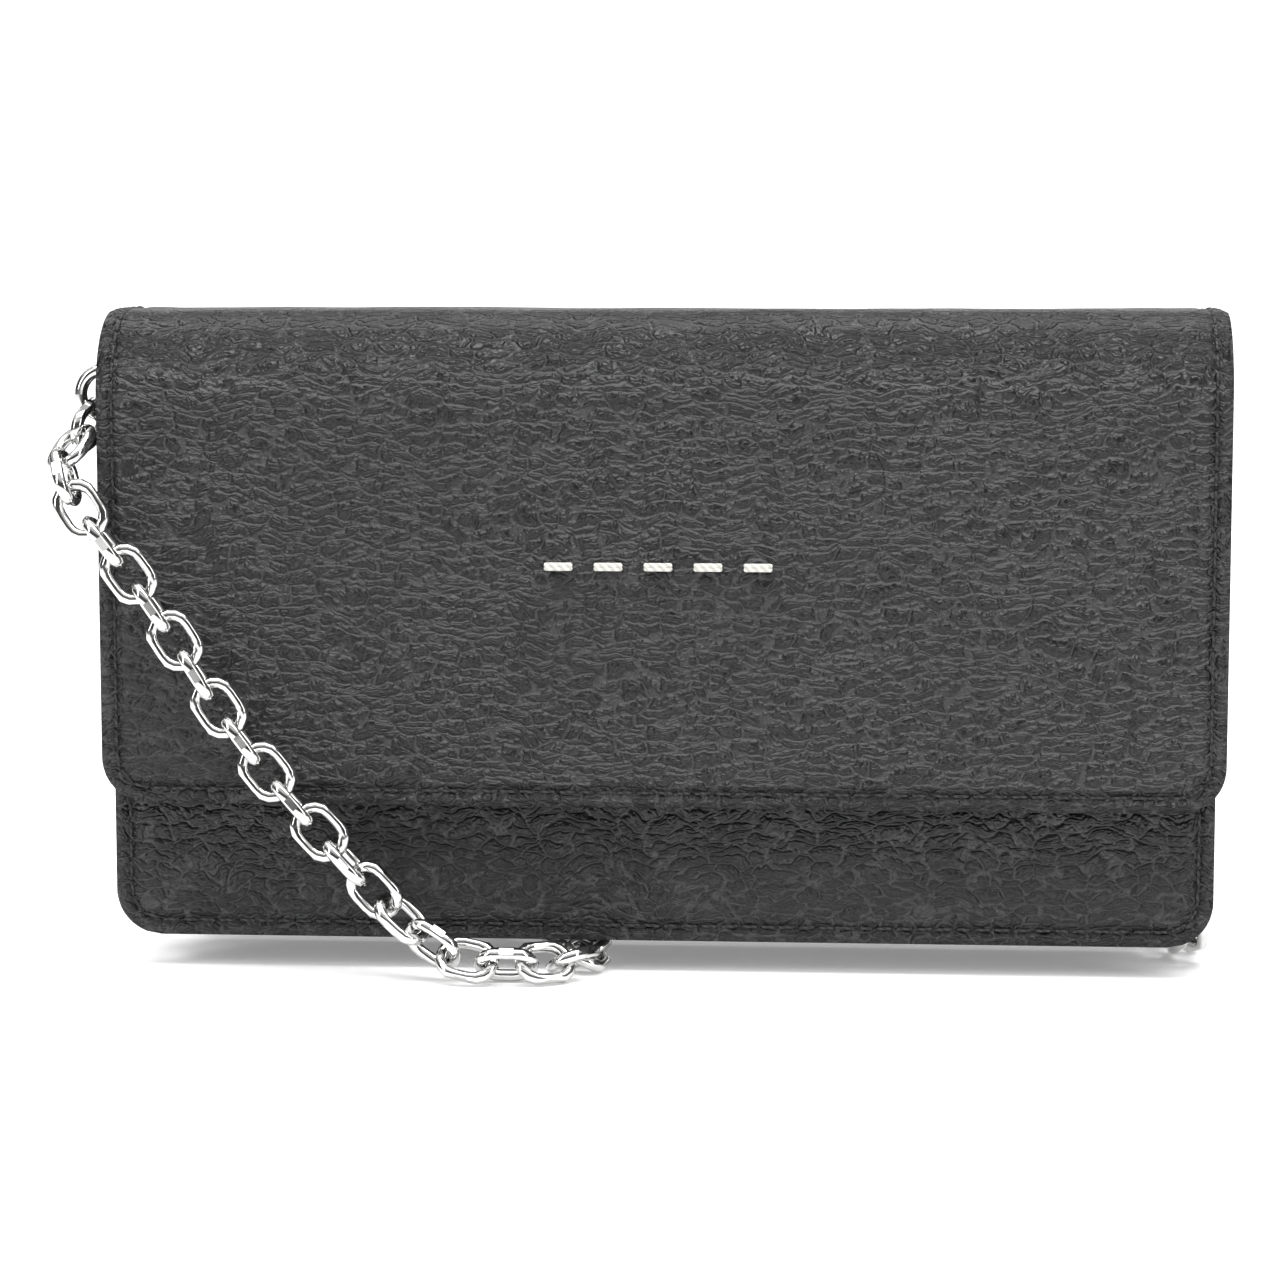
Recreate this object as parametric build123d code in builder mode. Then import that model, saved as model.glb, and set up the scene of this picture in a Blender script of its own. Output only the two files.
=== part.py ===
# A flap wallet of black grained leather on a silver chain strap, in millimetres.
# X runs to the right along the wallet, Y to the back and Z up. The origin is on the
# table, under the middle of the wallet, which stands on a stretch of its own chain.
from build123d import *
from math import cos, floor, radians
import os

os.makedirs("parts", exist_ok=True)

# ---- driving sizes: the wallet -------------------------------------------------
FLAP_WIDTH = 195.0
PANEL_WIDTH = 192.0
POCKET_WIDTH = 190.0
DEPTH = 36.0
HEIGHT = 110.0
LIFT = 5.6  # the chain that passes beneath holds the wallet this far off the table
FLAP_DROP = 86.0  # from the top down to the flap's lower edge
FRONT_DROP = 14.0  # from the flap's top down to the front panel's top edge
POCKET_DROP = 22.0
RING_DROP = 15.0
SNAP_RISE = 9.4  # from the flap's lower edge up to the snap
SHOULDER_RADIUS = 15.0  # the soft bend where the flap comes over the front
REAR_RADIUS = 6.0
POCKET_CORNER = 14.0  # lower corners of the zip pocket, cut back for the chain
CORNER_RADIUS = 8.0
TOP_CORNER_RADIUS = 2.0

# ---- leather, board and lining --------------------------------------------------
FLAP_LEATHER = 1.2
FLAP_BOARD = 0.6
FLAP_LINING = 1.0
FRONT_LEATHER = 1.0
FRONT_BOARD = 0.6
FRONT_LINING = 0.8
BACK_LEATHER = 1.2
BACK_BOARD = 0.7
BACK_LINING = 0.9
POCKET_WALL = 1.0
POCKET_GAP = 2.9  # inside the zip pocket, from wall to wall
POCKET_FRONT_FACE = -1.6
SEAM_STRIP = 4.0
GUSSET_SKIN = 0.8
GUSSET_DROP = 7.6  # from the zip pocket's top edge down to the gussets
GUSSET_DEPTH = 7.0  # how far a side gusset folds in from the panel's side
BOARD_INSET = 5.0
BOTTOM_SKIN = 1.0
FLAP_GAP = 0.7  # between the closed flap and the front panel
BOTTOM_RECESS = 1.8  # the pockets and the back end this far above the front panel's edge
SEAM_GAP = 0.1
HINGE_GAP = 0.15

# ---- card slots -----------------------------------------------------------------
CARD_SKIN = 0.7
CARD_STEP_BACK = 0.8
CARD_SLOTS = 4
CARD_WIDTH = 86.0
CARD_COLUMN_GAP = 1.6
CARD_RISE = 9.0  # from the bottom edge up to the slots
CARD_DROP = 23.6
CARD_STEP_DOWN = 11.0
SLIP_DROP = 63.0

# ---- zip ------------------------------------------------------------------------
ZIP_LENGTH = 160.0
TOOTH_PITCH = 3.0
TOOTH_LONG = 1.3
TOOTH_WIDE = 1.5
TOOTH_HIGH = 1.4
TAPE_THICK = 0.5
ZIP_DROP = 1.5  # the teeth lie this far under the pocket's top edge
SLIDER_LONG = 9.0
SLIDER_WIDE = 2.6
SLIDER_SKIN = 0.8
SLIDER_GAP = 0.2
BRIDGE_HIGH = 1.6
PULLER_LONG = 13.0
PULLER_WIDE = 3.2
PULLER_THICK = 0.9

# ---- magnetic snap ----------------------------------------------------------------
SNAP_RADIUS = 6.0
SNAP_FLANGE = 0.45
STUD_RADIUS = 2.0
STUD_HOLE = 2.9
POST_RADIUS = 1.5
POST_CLEARANCE = 0.05
WASHER_RADIUS = 5.5
WASHER_THICK = 0.5

# ---- rings and their tabs ---------------------------------------------------------
RING_RADIUS = 4.3  # to the middle of the wire
RING_WIRE = 2.2
RING_HANG = 93.3  # from the middle plane to the wire that the tab holds
TAB_SKIN = 0.9
TAB_WIDE = 4.0
TAB_LOOP_DEEP = 3.6
TAB_LOOP_LONG = 4.8
TAB_LONG = 22.0

# ---- chain ------------------------------------------------------------------------
LINK_WIRE = 2.15
LINK_HALF_LONG = 4.625  # to the middle of the wire
LINK_HALF_WIDE = 3.425
FACET_HALF_WIDE = 4.0  # the long sides are cut flat here
LINK_PLAY = 2.5  # between the wires of two links, middle to middle

# ---- worked out -------------------------------------------------------------------
FRONT_FACE = -DEPTH / 2
BACK_FACE = DEPTH / 2
FLAP_THICK = FLAP_LEATHER + FLAP_BOARD + FLAP_LINING
FLAP_TOP = LIFT + HEIGHT
FLAP_BOTTOM = FLAP_TOP - FLAP_DROP
POCKET_TOP = FLAP_TOP - POCKET_DROP
RING_HEIGHT = FLAP_TOP - RING_DROP
SNAP_HEIGHT = FLAP_BOTTOM + SNAP_RISE
CARD_BOTTOM = LIFT + CARD_RISE
CARD_TOP = FLAP_TOP - CARD_DROP
SLIP_TOP = FLAP_TOP - SLIP_DROP
HINGE_Y = BACK_FACE - REAR_RADIUS
PANEL_FACE = FRONT_FACE + FLAP_THICK + FLAP_GAP
FRONT_INNER = PANEL_FACE + FRONT_LEATHER + FRONT_BOARD + FRONT_LINING
FRONT_TOP = FLAP_TOP - FRONT_DROP
BACK_INNER = BACK_FACE - BACK_LEATHER - BACK_BOARD - BACK_LINING
POCKET_BACK_FACE = POCKET_FRONT_FACE + 2 * POCKET_WALL + POCKET_GAP
POCKET_MIDDLE = (POCKET_FRONT_FACE + POCKET_BACK_FACE) / 2
BOTTOM_Z = LIFT + BOTTOM_RECESS
POCKET_BOTTOM = BOTTOM_Z + BOTTOM_SKIN
GUSSET_BOTTOM = POCKET_BOTTOM + 1.2
GUSSET_TOP = POCKET_TOP - GUSSET_DROP
GUSSET_FOLD = POCKET_WIDTH / 2 - GUSSET_DEPTH
TEETH_Z = POCKET_TOP - ZIP_DROP
TOOTH_COUNT = int(ZIP_LENGTH / TOOTH_PITCH)
SLIDER_REST = ZIP_LENGTH / 2 - SLIDER_LONG


def finish(piece, node):
    """Label a finished piece and write it as its own STEP file."""
    piece.part.label = node
    export_step(piece.part, f"parts/{node}.step")


# ---- flat pieces that stand along the wallet ---------------------------------------
def upright_plate(node, width, bottom, top, front, back, low_corner=0.0, high_corner=0.0,
                  middle=0.0, holes=()):
    """A plate from Y=front to Y=back with round corners and, if asked, round holes."""
    with BuildPart() as plate:
        with BuildSketch(Plane.XZ.offset(-back)) as outline:
            with Locations((middle, (bottom + top) / 2)):
                Rectangle(width, top - bottom)
            if high_corner:
                fillet(outline.vertices().group_by(Axis.Y)[-1], high_corner)
            if low_corner:
                fillet(outline.vertices().group_by(Axis.Y)[0], low_corner)
            for x, z, radius in holes:
                with Locations((x, z)):
                    Circle(radius, mode=Mode.SUBTRACT)
        extrude(amount=back - front)
    finish(plate, node)


# ---- the flap: one bent section, in three layers -----------------------------------
def shoulder_area(depth):
    """What lies under the flap's outer face, this deep beneath it, as a side section."""
    with BuildSketch(Plane.YZ) as area:
        front = FRONT_FACE + depth
        top = FLAP_TOP - depth
        with Locations(((front + HINGE_Y) / 2, (FLAP_BOTTOM + top) / 2)):
            Rectangle(HINGE_Y - front, top - FLAP_BOTTOM)
        corner = area.vertices().group_by(Axis.Y)[-1].sort_by(Axis.X)[0]
        fillet(corner, SHOULDER_RADIUS - depth)
    return area.sketch


def flap_layer(node, outer, inner, width, rise=0.0, hole=0.0):
    """A layer of the flap between two depths, from its hinge edge to its lower edge."""
    section = shoulder_area(outer) - shoulder_area(inner)
    with BuildPart() as layer:
        extrude(section, amount=width / 2, both=True)
        low_edges = layer.edges().filter_by(Axis.Y).group_by(Axis.Z)[0]
        fillet(low_edges, CORNER_RADIUS - rise)
        with BuildSketch(Plane.XY.offset(FLAP_TOP + 1)):
            with Locations((0, HINGE_Y)):
                Rectangle(width + 2, 2 * HINGE_GAP)
        extrude(amount=-REAR_RADIUS, mode=Mode.SUBTRACT)
        if hole:
            with BuildSketch(Plane.XZ.offset(-PANEL_FACE)):
                with Locations((0, SNAP_HEIGHT)):
                    Circle(hole)
            extrude(amount=DEPTH, mode=Mode.SUBTRACT)
    finish(layer, node)


flap_layer("flap_leather", 0, FLAP_LEATHER, FLAP_WIDTH)
flap_layer("flap_lining", FLAP_LEATHER + FLAP_BOARD, FLAP_THICK, FLAP_WIDTH,
           hole=POST_RADIUS + POST_CLEARANCE)
upright_plate("flap_board", FLAP_WIDTH - 2 * BOARD_INSET, FLAP_BOTTOM + BOARD_INSET,
              FLAP_TOP - SHOULDER_RADIUS, FRONT_FACE + FLAP_LEATHER,
              FRONT_FACE + FLAP_LEATHER + FLAP_BOARD, low_corner=CORNER_RADIUS / 2,
              holes=[(0, SNAP_HEIGHT, WASHER_RADIUS + 0.3)])

# ---- the front panel ----------------------------------------------------------------
FRONT_BOARD_FACE = PANEL_FACE + FRONT_LEATHER
FRONT_LINING_FACE = FRONT_BOARD_FACE + FRONT_BOARD
upright_plate("front_leather", PANEL_WIDTH, LIFT, FRONT_TOP, PANEL_FACE, FRONT_BOARD_FACE,
              CORNER_RADIUS, TOP_CORNER_RADIUS, holes=[(0, SNAP_HEIGHT, SNAP_RADIUS + 0.05)])
upright_plate("front_board", PANEL_WIDTH - 2 * BOARD_INSET, LIFT + BOARD_INSET,
              FRONT_TOP - BOARD_INSET, FRONT_BOARD_FACE, FRONT_LINING_FACE,
              CORNER_RADIUS / 2, TOP_CORNER_RADIUS,
              holes=[(0, SNAP_HEIGHT, WASHER_RADIUS + 0.3)])
upright_plate("front_lining", PANEL_WIDTH, LIFT, FRONT_TOP, FRONT_LINING_FACE, FRONT_INNER,
              CORNER_RADIUS, TOP_CORNER_RADIUS)

# ---- the back: its hide comes over the top to the flap's hinge line ------------------
with BuildPart() as back_leather:
    with BuildSketch(Plane.YZ) as section:
        with Locations(((HINGE_Y + BACK_FACE) / 2, (BOTTOM_Z + FLAP_TOP) / 2)):
            Rectangle(REAR_RADIUS, FLAP_TOP - BOTTOM_Z)
        outer_corner = section.vertices().group_by(Axis.Y)[-1].sort_by(Axis.X)[-1]
        fillet(outer_corner, REAR_RADIUS - 0.01)
        with BuildSketch(Plane.YZ, mode=Mode.SUBTRACT) as inside:
            inner_top = FLAP_TOP - BACK_LEATHER
            inner_back = BACK_FACE - BACK_LEATHER
            with Locations(((HINGE_Y - 1 + inner_back) / 2, (BOTTOM_Z - 1 + inner_top) / 2)):
                Rectangle(inner_back - HINGE_Y + 1, inner_top - BOTTOM_Z + 1)
            inner_corner = inside.vertices().group_by(Axis.Y)[-1].sort_by(Axis.X)[-1]
            fillet(inner_corner, REAR_RADIUS - BACK_LEATHER)
    extrude(amount=PANEL_WIDTH / 2, both=True)
    with BuildSketch(Plane.XY.offset(FLAP_TOP + 1)):
        with Locations((0, HINGE_Y)):
            Rectangle(PANEL_WIDTH + 2, 2 * HINGE_GAP)
    extrude(amount=-REAR_RADIUS, mode=Mode.SUBTRACT)
    fillet(back_leather.edges().filter_by(Axis.Y).group_by(Axis.Z)[0], CORNER_RADIUS)
finish(back_leather, "back_leather")

BACK_BOARD_BACK = BACK_FACE - BACK_LEATHER
BACK_LINING_BACK = BACK_BOARD_BACK - BACK_BOARD
BACK_TOP = FLAP_TOP - REAR_RADIUS - 1
upright_plate("back_board", PANEL_WIDTH - 2 * BOARD_INSET, BOTTOM_Z + BOARD_INSET,
              BACK_TOP - BOARD_INSET, BACK_LINING_BACK, BACK_BOARD_BACK, CORNER_RADIUS / 2)
upright_plate("back_lining", PANEL_WIDTH, BOTTOM_Z, BACK_TOP, BACK_INNER, BACK_LINING_BACK,
              CORNER_RADIUS)

# ---- card slots and slip pocket on the back's inner face -----------------------------
for side, sign in (("left", -1), ("right", 1)):
    column = sign * (CARD_WIDTH + CARD_COLUMN_GAP) / 2
    for slot in range(CARD_SLOTS):
        rear = BACK_INNER - SEAM_GAP - slot * CARD_STEP_BACK
        upright_plate(f"card_slot_{side}_{slot + 1}", CARD_WIDTH, CARD_BOTTOM,
                      CARD_TOP - slot * CARD_STEP_DOWN, rear - CARD_SKIN, rear,
                      high_corner=TOP_CORNER_RADIUS, middle=column)
slip_rear = BACK_INNER - SEAM_GAP - CARD_SLOTS * CARD_STEP_BACK
upright_plate("slip_pocket", 2 * CARD_WIDTH + CARD_COLUMN_GAP, CARD_BOTTOM, SLIP_TOP,
              slip_rear - CARD_SKIN, slip_rear, high_corner=TOP_CORNER_RADIUS)

# ---- zip pocket, which is the middle divider ------------------------------------------
upright_plate("pocket_front_wall", POCKET_WIDTH, POCKET_BOTTOM, POCKET_TOP,
              POCKET_FRONT_FACE, POCKET_FRONT_FACE + POCKET_WALL, POCKET_CORNER, TOP_CORNER_RADIUS)
upright_plate("pocket_rear_wall", POCKET_WIDTH, POCKET_BOTTOM, POCKET_TOP,
              POCKET_BACK_FACE - POCKET_WALL, POCKET_BACK_FACE, POCKET_CORNER,
              TOP_CORNER_RADIUS)
with BuildPart() as pocket_seam_strip:
    strip_back = POCKET_BACK_FACE - POCKET_WALL
    with BuildSketch(Plane.XZ.offset(-strip_back)) as outline:
        with Locations((0, (POCKET_BOTTOM + TEETH_Z - 3) / 2)):
            Rectangle(POCKET_WIDTH, TEETH_Z - 3 - POCKET_BOTTOM)
        fillet(outline.vertices().group_by(Axis.Y)[0], POCKET_CORNER)
        with Locations((0, (POCKET_BOTTOM + TEETH_Z) / 2 + SEAM_STRIP)):
            Rectangle(POCKET_WIDTH - 2 * SEAM_STRIP, TEETH_Z - POCKET_BOTTOM + SEAM_STRIP,
                      mode=Mode.SUBTRACT)
    extrude(amount=POCKET_GAP)
finish(pocket_seam_strip, "pocket_seam_strip")

with BuildPart() as bottom_panel:
    bottom_front = FRONT_INNER + 0.6
    bottom_back = BACK_INNER - 0.3
    with BuildSketch(Plane.XY.offset(BOTTOM_Z)):
        with Locations((0, (bottom_front + bottom_back) / 2)):
            Rectangle(2 * GUSSET_FOLD - 2, bottom_back - bottom_front)
    extrude(amount=BOTTOM_SKIN)
finish(bottom_panel, "bottom_panel")


# ---- side gussets: each folds inwards between two panels ------------------------------
def gusset(node, sign, front, back):
    """A folded side wall, open to the outside, that joins the panels at front and back."""
    with BuildPart() as fold:
        with BuildSketch(Plane.XY.offset(GUSSET_BOTTOM)):
            with Locations((sign * (POCKET_WIDTH / 2 - GUSSET_DEPTH / 2), (front + back) / 2)):
                Rectangle(GUSSET_DEPTH, back - front)
            with Locations((sign * (POCKET_WIDTH / 2 - GUSSET_DEPTH / 2 + GUSSET_SKIN),
                            (front + back) / 2)):
                Rectangle(GUSSET_DEPTH, back - front - 2 * GUSSET_SKIN, mode=Mode.SUBTRACT)
        extrude(amount=GUSSET_TOP - GUSSET_BOTTOM)
        with BuildSketch(Plane.XZ.offset(-back)) as outline:
            with Locations((0, (POCKET_BOTTOM + POCKET_TOP) / 2)):
                Rectangle(POCKET_WIDTH, POCKET_TOP - POCKET_BOTTOM)
            fillet(outline.vertices().group_by(Axis.Y)[0], POCKET_CORNER)
        extrude(amount=back - front, mode=Mode.INTERSECT)
    finish(fold, node)


for side, sign in (("left", -1), ("right", 1)):
    gusset(f"gusset_front_{side}", sign, FRONT_INNER + SEAM_GAP, POCKET_FRONT_FACE)
    gusset(f"gusset_rear_{side}", sign, POCKET_BACK_FACE, BACK_INNER - SEAM_GAP)

# ---- zip: tapes, teeth, stops, slider and puller ----------------------------------------
TAPE_INNER = 0.25
for side, sign, wall in (("front", -1, POCKET_FRONT_FACE + POCKET_WALL),
                         ("rear", 1, POCKET_BACK_FACE - POCKET_WALL)):
    with BuildPart() as tape:
        with BuildSketch(Plane.XY.offset(TEETH_Z - TAPE_THICK / 2)):
            near = POCKET_MIDDLE + sign * (TOOTH_WIDE / 2 + TAPE_INNER)
            with Locations((0, (near + wall) / 2)):
                Rectangle(ZIP_LENGTH + 16, abs(wall - near))
        extrude(amount=TAPE_THICK)
    finish(tape, f"zip_tape_{side}")
    with BuildPart() as teeth:
        with BuildSketch(Plane.XY.offset(TEETH_Z - TOOTH_HIGH / 2)):
            shift = TOOTH_PITCH / 2 if sign > 0 else 0.0
            start = -TOOTH_COUNT * TOOTH_PITCH / 2
            rows = [(start + step * TOOTH_PITCH + shift, POCKET_MIDDLE + sign * TAPE_INNER)
                    for step in range(TOOTH_COUNT)]
            with Locations(*rows):
                Rectangle(TOOTH_LONG, TOOTH_WIDE)
        extrude(amount=TOOTH_HIGH)
    finish(teeth, f"zip_teeth_{side}")

with BuildPart() as zip_stops:
    with BuildSketch(Plane.XY.offset(TEETH_Z - TOOTH_HIGH / 2)):
        with Locations((-ZIP_LENGTH / 2 - 3.5, POCKET_MIDDLE), (ZIP_LENGTH / 2 + 3.5, POCKET_MIDDLE)):
            Rectangle(2.5, TOOTH_WIDE)
    extrude(amount=TOOTH_HIGH)
finish(zip_stops, "zip_stops")

SLIDER_FLOOR = TEETH_Z + TOOTH_HIGH / 2 + SLIDER_GAP
SLIDER_TOP = SLIDER_FLOOR + SLIDER_SKIN
PULLER_PIVOT_Z = SLIDER_TOP + BRIDGE_HIGH / 2
with BuildPart() as zip_slider:
    with BuildSketch(Plane.XY.offset(SLIDER_FLOOR)) as wing:
        with Locations((SLIDER_REST, POCKET_MIDDLE)):
            Rectangle(SLIDER_LONG, SLIDER_WIDE)
        fillet(wing.vertices(), 0.8)
    extrude(amount=SLIDER_SKIN)
    with BuildSketch(Plane.XY.offset(TEETH_Z - TOOTH_HIGH / 2 - SLIDER_GAP)) as low_wing:
        with Locations((SLIDER_REST, POCKET_MIDDLE)):
            Rectangle(SLIDER_LONG, SLIDER_WIDE)
        fillet(low_wing.vertices(), 0.8)
    extrude(amount=-SLIDER_SKIN)
    with BuildSketch(Plane.XZ.offset(-POCKET_MIDDLE)) as bridge:
        with Locations((SLIDER_REST, SLIDER_TOP + BRIDGE_HIGH / 2)):
            Rectangle(5.0, BRIDGE_HIGH + 1.2)
        with Locations((SLIDER_REST, PULLER_PIVOT_Z)):
            Rectangle(3.2, BRIDGE_HIGH - 0.2, mode=Mode.SUBTRACT)
        with Locations((SLIDER_REST, SLIDER_FLOOR)):
            Rectangle(5.2, 0.8, mode=Mode.SUBTRACT)
    extrude(amount=0.45, both=True)
finish(zip_slider, "zip_slider")

with BuildPart() as zip_puller:
    eye = PULLER_PIVOT_Z
    with BuildSketch(Plane.XY.offset(eye - PULLER_THICK / 2)) as tongue:
        with Locations((SLIDER_REST - PULLER_LONG / 2 + 1.2, POCKET_MIDDLE)):
            Rectangle(PULLER_LONG, PULLER_WIDE)
        fillet(tongue.vertices(), 1.0)
        with Locations((SLIDER_REST - 1.4, POCKET_MIDDLE)):
            Rectangle(3.4, 1.5, mode=Mode.SUBTRACT)
    extrude(amount=PULLER_THICK)
finish(zip_puller, "zip_puller")

# ---- magnetic snap ------------------------------------------------------------------------
FLAP_INNER = FRONT_FACE + FLAP_THICK
with BuildPart() as snap_male:
    with BuildSketch(Plane.XZ.offset(-FLAP_INNER)):
        with Locations((0, SNAP_HEIGHT)):
            Circle(SNAP_RADIUS)
    extrude(amount=-SNAP_FLANGE)
    with BuildSketch(Plane.XZ.offset(-FLAP_INNER - SNAP_FLANGE)):
        with Locations((0, SNAP_HEIGHT)):
            Circle(STUD_RADIUS)
    extrude(amount=-(PANEL_FACE + FRONT_LEATHER - 0.2 - FLAP_INNER - SNAP_FLANGE))
    with BuildSketch(Plane.XZ.offset(-FLAP_INNER)):
        with Locations((0, SNAP_HEIGHT)):
            Circle(POST_RADIUS)
    extrude(amount=FLAP_LINING)
finish(snap_male, "snap_male")

with BuildPart() as snap_female:
    with BuildSketch(Plane.XZ.offset(-FRONT_BOARD_FACE)):
        with Locations((0, SNAP_HEIGHT)):
            Circle(SNAP_RADIUS)
            Circle(STUD_HOLE, mode=Mode.SUBTRACT)
    extrude(amount=FRONT_LEATHER - 0.05)
finish(snap_female, "snap_female")

for node, back in (("snap_male_washer", FRONT_FACE + FLAP_LEATHER + FLAP_BOARD),
                   ("snap_female_washer", FRONT_LINING_FACE)):
    with BuildPart() as washer:
        with BuildSketch(Plane.XZ.offset(-back)):
            with Locations((0, SNAP_HEIGHT)):
                Circle(WASHER_RADIUS)
        extrude(amount=WASHER_THICK)
    finish(washer, node)

# ---- ring tabs and rings --------------------------------------------------------------------
TAB_DEEP = TAB_LOOP_DEEP + 2 * TAB_SKIN
TAB_MIDDLE = FRONT_INNER + SEAM_GAP + TAB_DEEP / 2
# how far the ring's wire bows out of line across the tab's width
RING_BOW = RING_RADIUS - (RING_RADIUS**2 - (TAB_WIDE / 2) ** 2) ** 0.5
for side, sign in (("left", -1), ("right", 1)):
    with BuildPart() as tab:
        with BuildSketch(Plane.XY.offset(RING_HEIGHT - TAB_WIDE / 2)):
            loop_end = RING_HANG + RING_BOW + RING_WIRE / 2 + 0.25
            with Locations((sign * (loop_end - TAB_LOOP_LONG / 2), TAB_MIDDLE)):
                SlotOverall(TAB_LOOP_LONG + 2 * TAB_SKIN, TAB_DEEP)
            foot = loop_end - TAB_LOOP_LONG
            strap_middle = FRONT_INNER + SEAM_GAP + TAB_SKIN
            with Locations((sign * (foot - TAB_LONG / 2 + 1.2), strap_middle)):
                Rectangle(TAB_LONG, 2 * TAB_SKIN)
            with Locations((sign * (loop_end - TAB_LOOP_LONG / 2), TAB_MIDDLE)):
                SlotOverall(TAB_LOOP_LONG, TAB_LOOP_DEEP, mode=Mode.SUBTRACT)
        extrude(amount=TAB_WIDE)
    finish(tab, f"ring_tab_{side}")

with BuildPart() as ring_left:
    with BuildSketch(Plane.XY.offset(RING_HEIGHT)):
        with Locations((-RING_HANG - 2 * RING_RADIUS, TAB_MIDDLE)):
            Circle(RING_WIRE / 2)
    revolve(axis=Axis((-RING_HANG - RING_RADIUS, TAB_MIDDLE, RING_HEIGHT), (0, 1, 0)))
finish(ring_left, "ring_left")
with BuildPart() as ring_right:
    with BuildSketch(Plane.XY.offset(RING_HEIGHT)):
        with Locations((RING_HANG, TAB_MIDDLE + 2 * RING_RADIUS)):
            Circle(RING_WIRE / 2)
    revolve(axis=Axis((RING_HANG, TAB_MIDDLE + RING_RADIUS, RING_HEIGHT), (1, 0, 0)))
finish(ring_right, "ring_right")

# ---- the chain's route ------------------------------------------------------------------------
# From the left ring round the flap's edge, down across the front to the table, under the
# front panel's edge, back under the wallet, in a flat hank behind it, forward again under
# the right end and up inside the right front gusset to the right ring.
DRAPE = [
    (-98.6, -7.3, 97.3),
    (-101.0, -13.4, 94.4),
    (-103.2, -20.4, 88.6),
    (-99.6, -23.6, 81.6),
    (-92.4, -23.0, 72.4),
    (-84.0, -22.8, 60.4),
    (-75.6, -22.7, 46.6),
    (-65.4, -22.6, 33.2),
    (-53.8, -22.7, 20.8),
    (-43.8, -23.8, 10.4),
    (-36.0, -25.4, 4.7),
    (-28.0, -26.6, 3.55),
    (-20.4, -25.6, 3.65),
    (-15.0, -21.2, 3.4),
]
STOWED = [
    (-12.8, -14.6, 2.75),
    (-12.4, -7.0, 2.75),
    (-14.6, 0.4, 2.75),
    (-18.6, 7.4, 2.75),
    (-24.4, 13.6, 2.85),
    (-32.2, 18.6, 3.35),
    (-43.0, 22.4, 3.5),
    (-57.0, 25.4, 3.5),
    (-71.0, 30.4, 3.5),
    (-83.4, 38.4, 3.5),
    (-88.8, 50.8, 3.5),
    (-84.4, 63.6, 3.5),
    (-71.0, 71.6, 3.5),
    (-50.0, 73.4, 3.5),
    (-22.0, 72.2, 3.5),
    (14.0, 73.4, 3.5),
    (46.0, 72.0, 3.5),
    (68.0, 74.6, 3.5),
    (83.4, 74.0, 3.5),
    (91.2, 64.6, 3.5),
    (87.0, 52.6, 3.5),
    (73.0, 48.8, 3.5),
    (50.0, 50.6, 3.5),
    (14.0, 49.0, 3.5),
    (-8.0, 50.4, 3.5),
    (-22.6, 51.0, 3.5),
    (-33.0, 43.6, 3.5),
    (-31.6, 31.8, 3.5),
    (-20.0, 26.2, 3.5),
    (-2.0, 27.2, 3.5),
    (26.0, 25.6, 3.5),
    (50.0, 26.8, 3.5),
    (68.0, 28.0, 3.5),
    (82.6, 26.4, 3.5),
    (93.0, 19.8, 3.5),
    (96.0, 9.0, 3.5),
    (95.2, 0.6, 4.3),
    (94.0, -5.2, 9.6),
    (93.0, -7.3, 17.6),
    (92.7, -7.2, 29.0),
    (92.6, -6.8, 46.0),
    (92.8, -6.9, 68.0),
    (92.8, -6.8, 85.0),
    (93.3, -5.05, 98.5),
]
ROUTE = DRAPE + STOWED
BEND_SHARE = 0.45


def bend_radii(points):
    """The largest arc that each corner of a route leaves room for."""
    radii = []
    for before, corner, after in zip(points, points[1:], points[2:]):
        arriving = Vector(*corner) - Vector(*before)
        leaving = Vector(*after) - Vector(*corner)
        half_turn = radians(arriving.get_angle(leaving)) / 2
        shorter = min(arriving.length, leaving.length)
        radii.append(BEND_SHARE * shorter * cos(half_turn) / (1 - cos(half_turn) ** 2) ** 0.5)
    return radii


RADII = bend_radii(ROUTE)
print("chain bends:", [round(radius, 1) for radius in RADII])
with BuildLine() as route_line:
    FilletPolyline(*ROUTE, radius=RADII)
route = route_line.wire()
ROUTE_LENGTH = route.length
print("chain route:", round(ROUTE_LENGTH, 1))


def spot(station):
    """The point of the route at this distance along it."""
    return route.position_at(station, position_mode=PositionMode.LENGTH)


def heading(station):
    """The route's direction at this distance along it."""
    return route.tangent_at(station, position_mode=PositionMode.LENGTH)


def next_station(station, play):
    """Where the next link's middle comes, with this play between the two wires."""
    step = 2 * LINK_HALF_LONG - play
    for _ in range(4):
        ahead = min(station + step, ROUTE_LENGTH)
        half_turn = radians(heading(station).get_angle(heading(ahead))) / 2
        reach = 2 * LINK_HALF_LONG * cos(half_turn) - play
        step *= reach / max((spot(ahead) - spot(station)).length, 0.1)
    return station + step


def march(start, count, play):
    """The stations of a row of links, from the first to the one after count steps."""
    row = [start]
    for _ in range(count):
        row.append(next_station(row[-1], play))
    return row


def fitted_row(start, end):
    """Stations from start to end, both included, with an even play that just fits."""
    trial = march(start, floor((end - start) / (2 * LINK_HALF_LONG - LINK_PLAY)), LINK_PLAY)
    count = min(range(len(trial)), key=lambda place: abs(trial[place] - end))
    low, high = LINK_PLAY - 0.4, LINK_PLAY + 0.4
    for _ in range(20):
        play = (low + high) / 2
        if march(start, count, play)[-1] > end:
            low = play
        else:
            high = play
    print("links:", count, "play:", round(play, 3))
    return march(start, count, play)


def station_under_front():
    """Where the route passes beneath the front panel's middle."""
    low, high = 100.0, 190.0
    middle_y = (PANEL_FACE + FRONT_INNER) / 2
    for _ in range(30):
        middle = (low + high) / 2
        if spot(middle).Y < middle_y:
            low = middle
        else:
            high = middle
    return low


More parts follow.
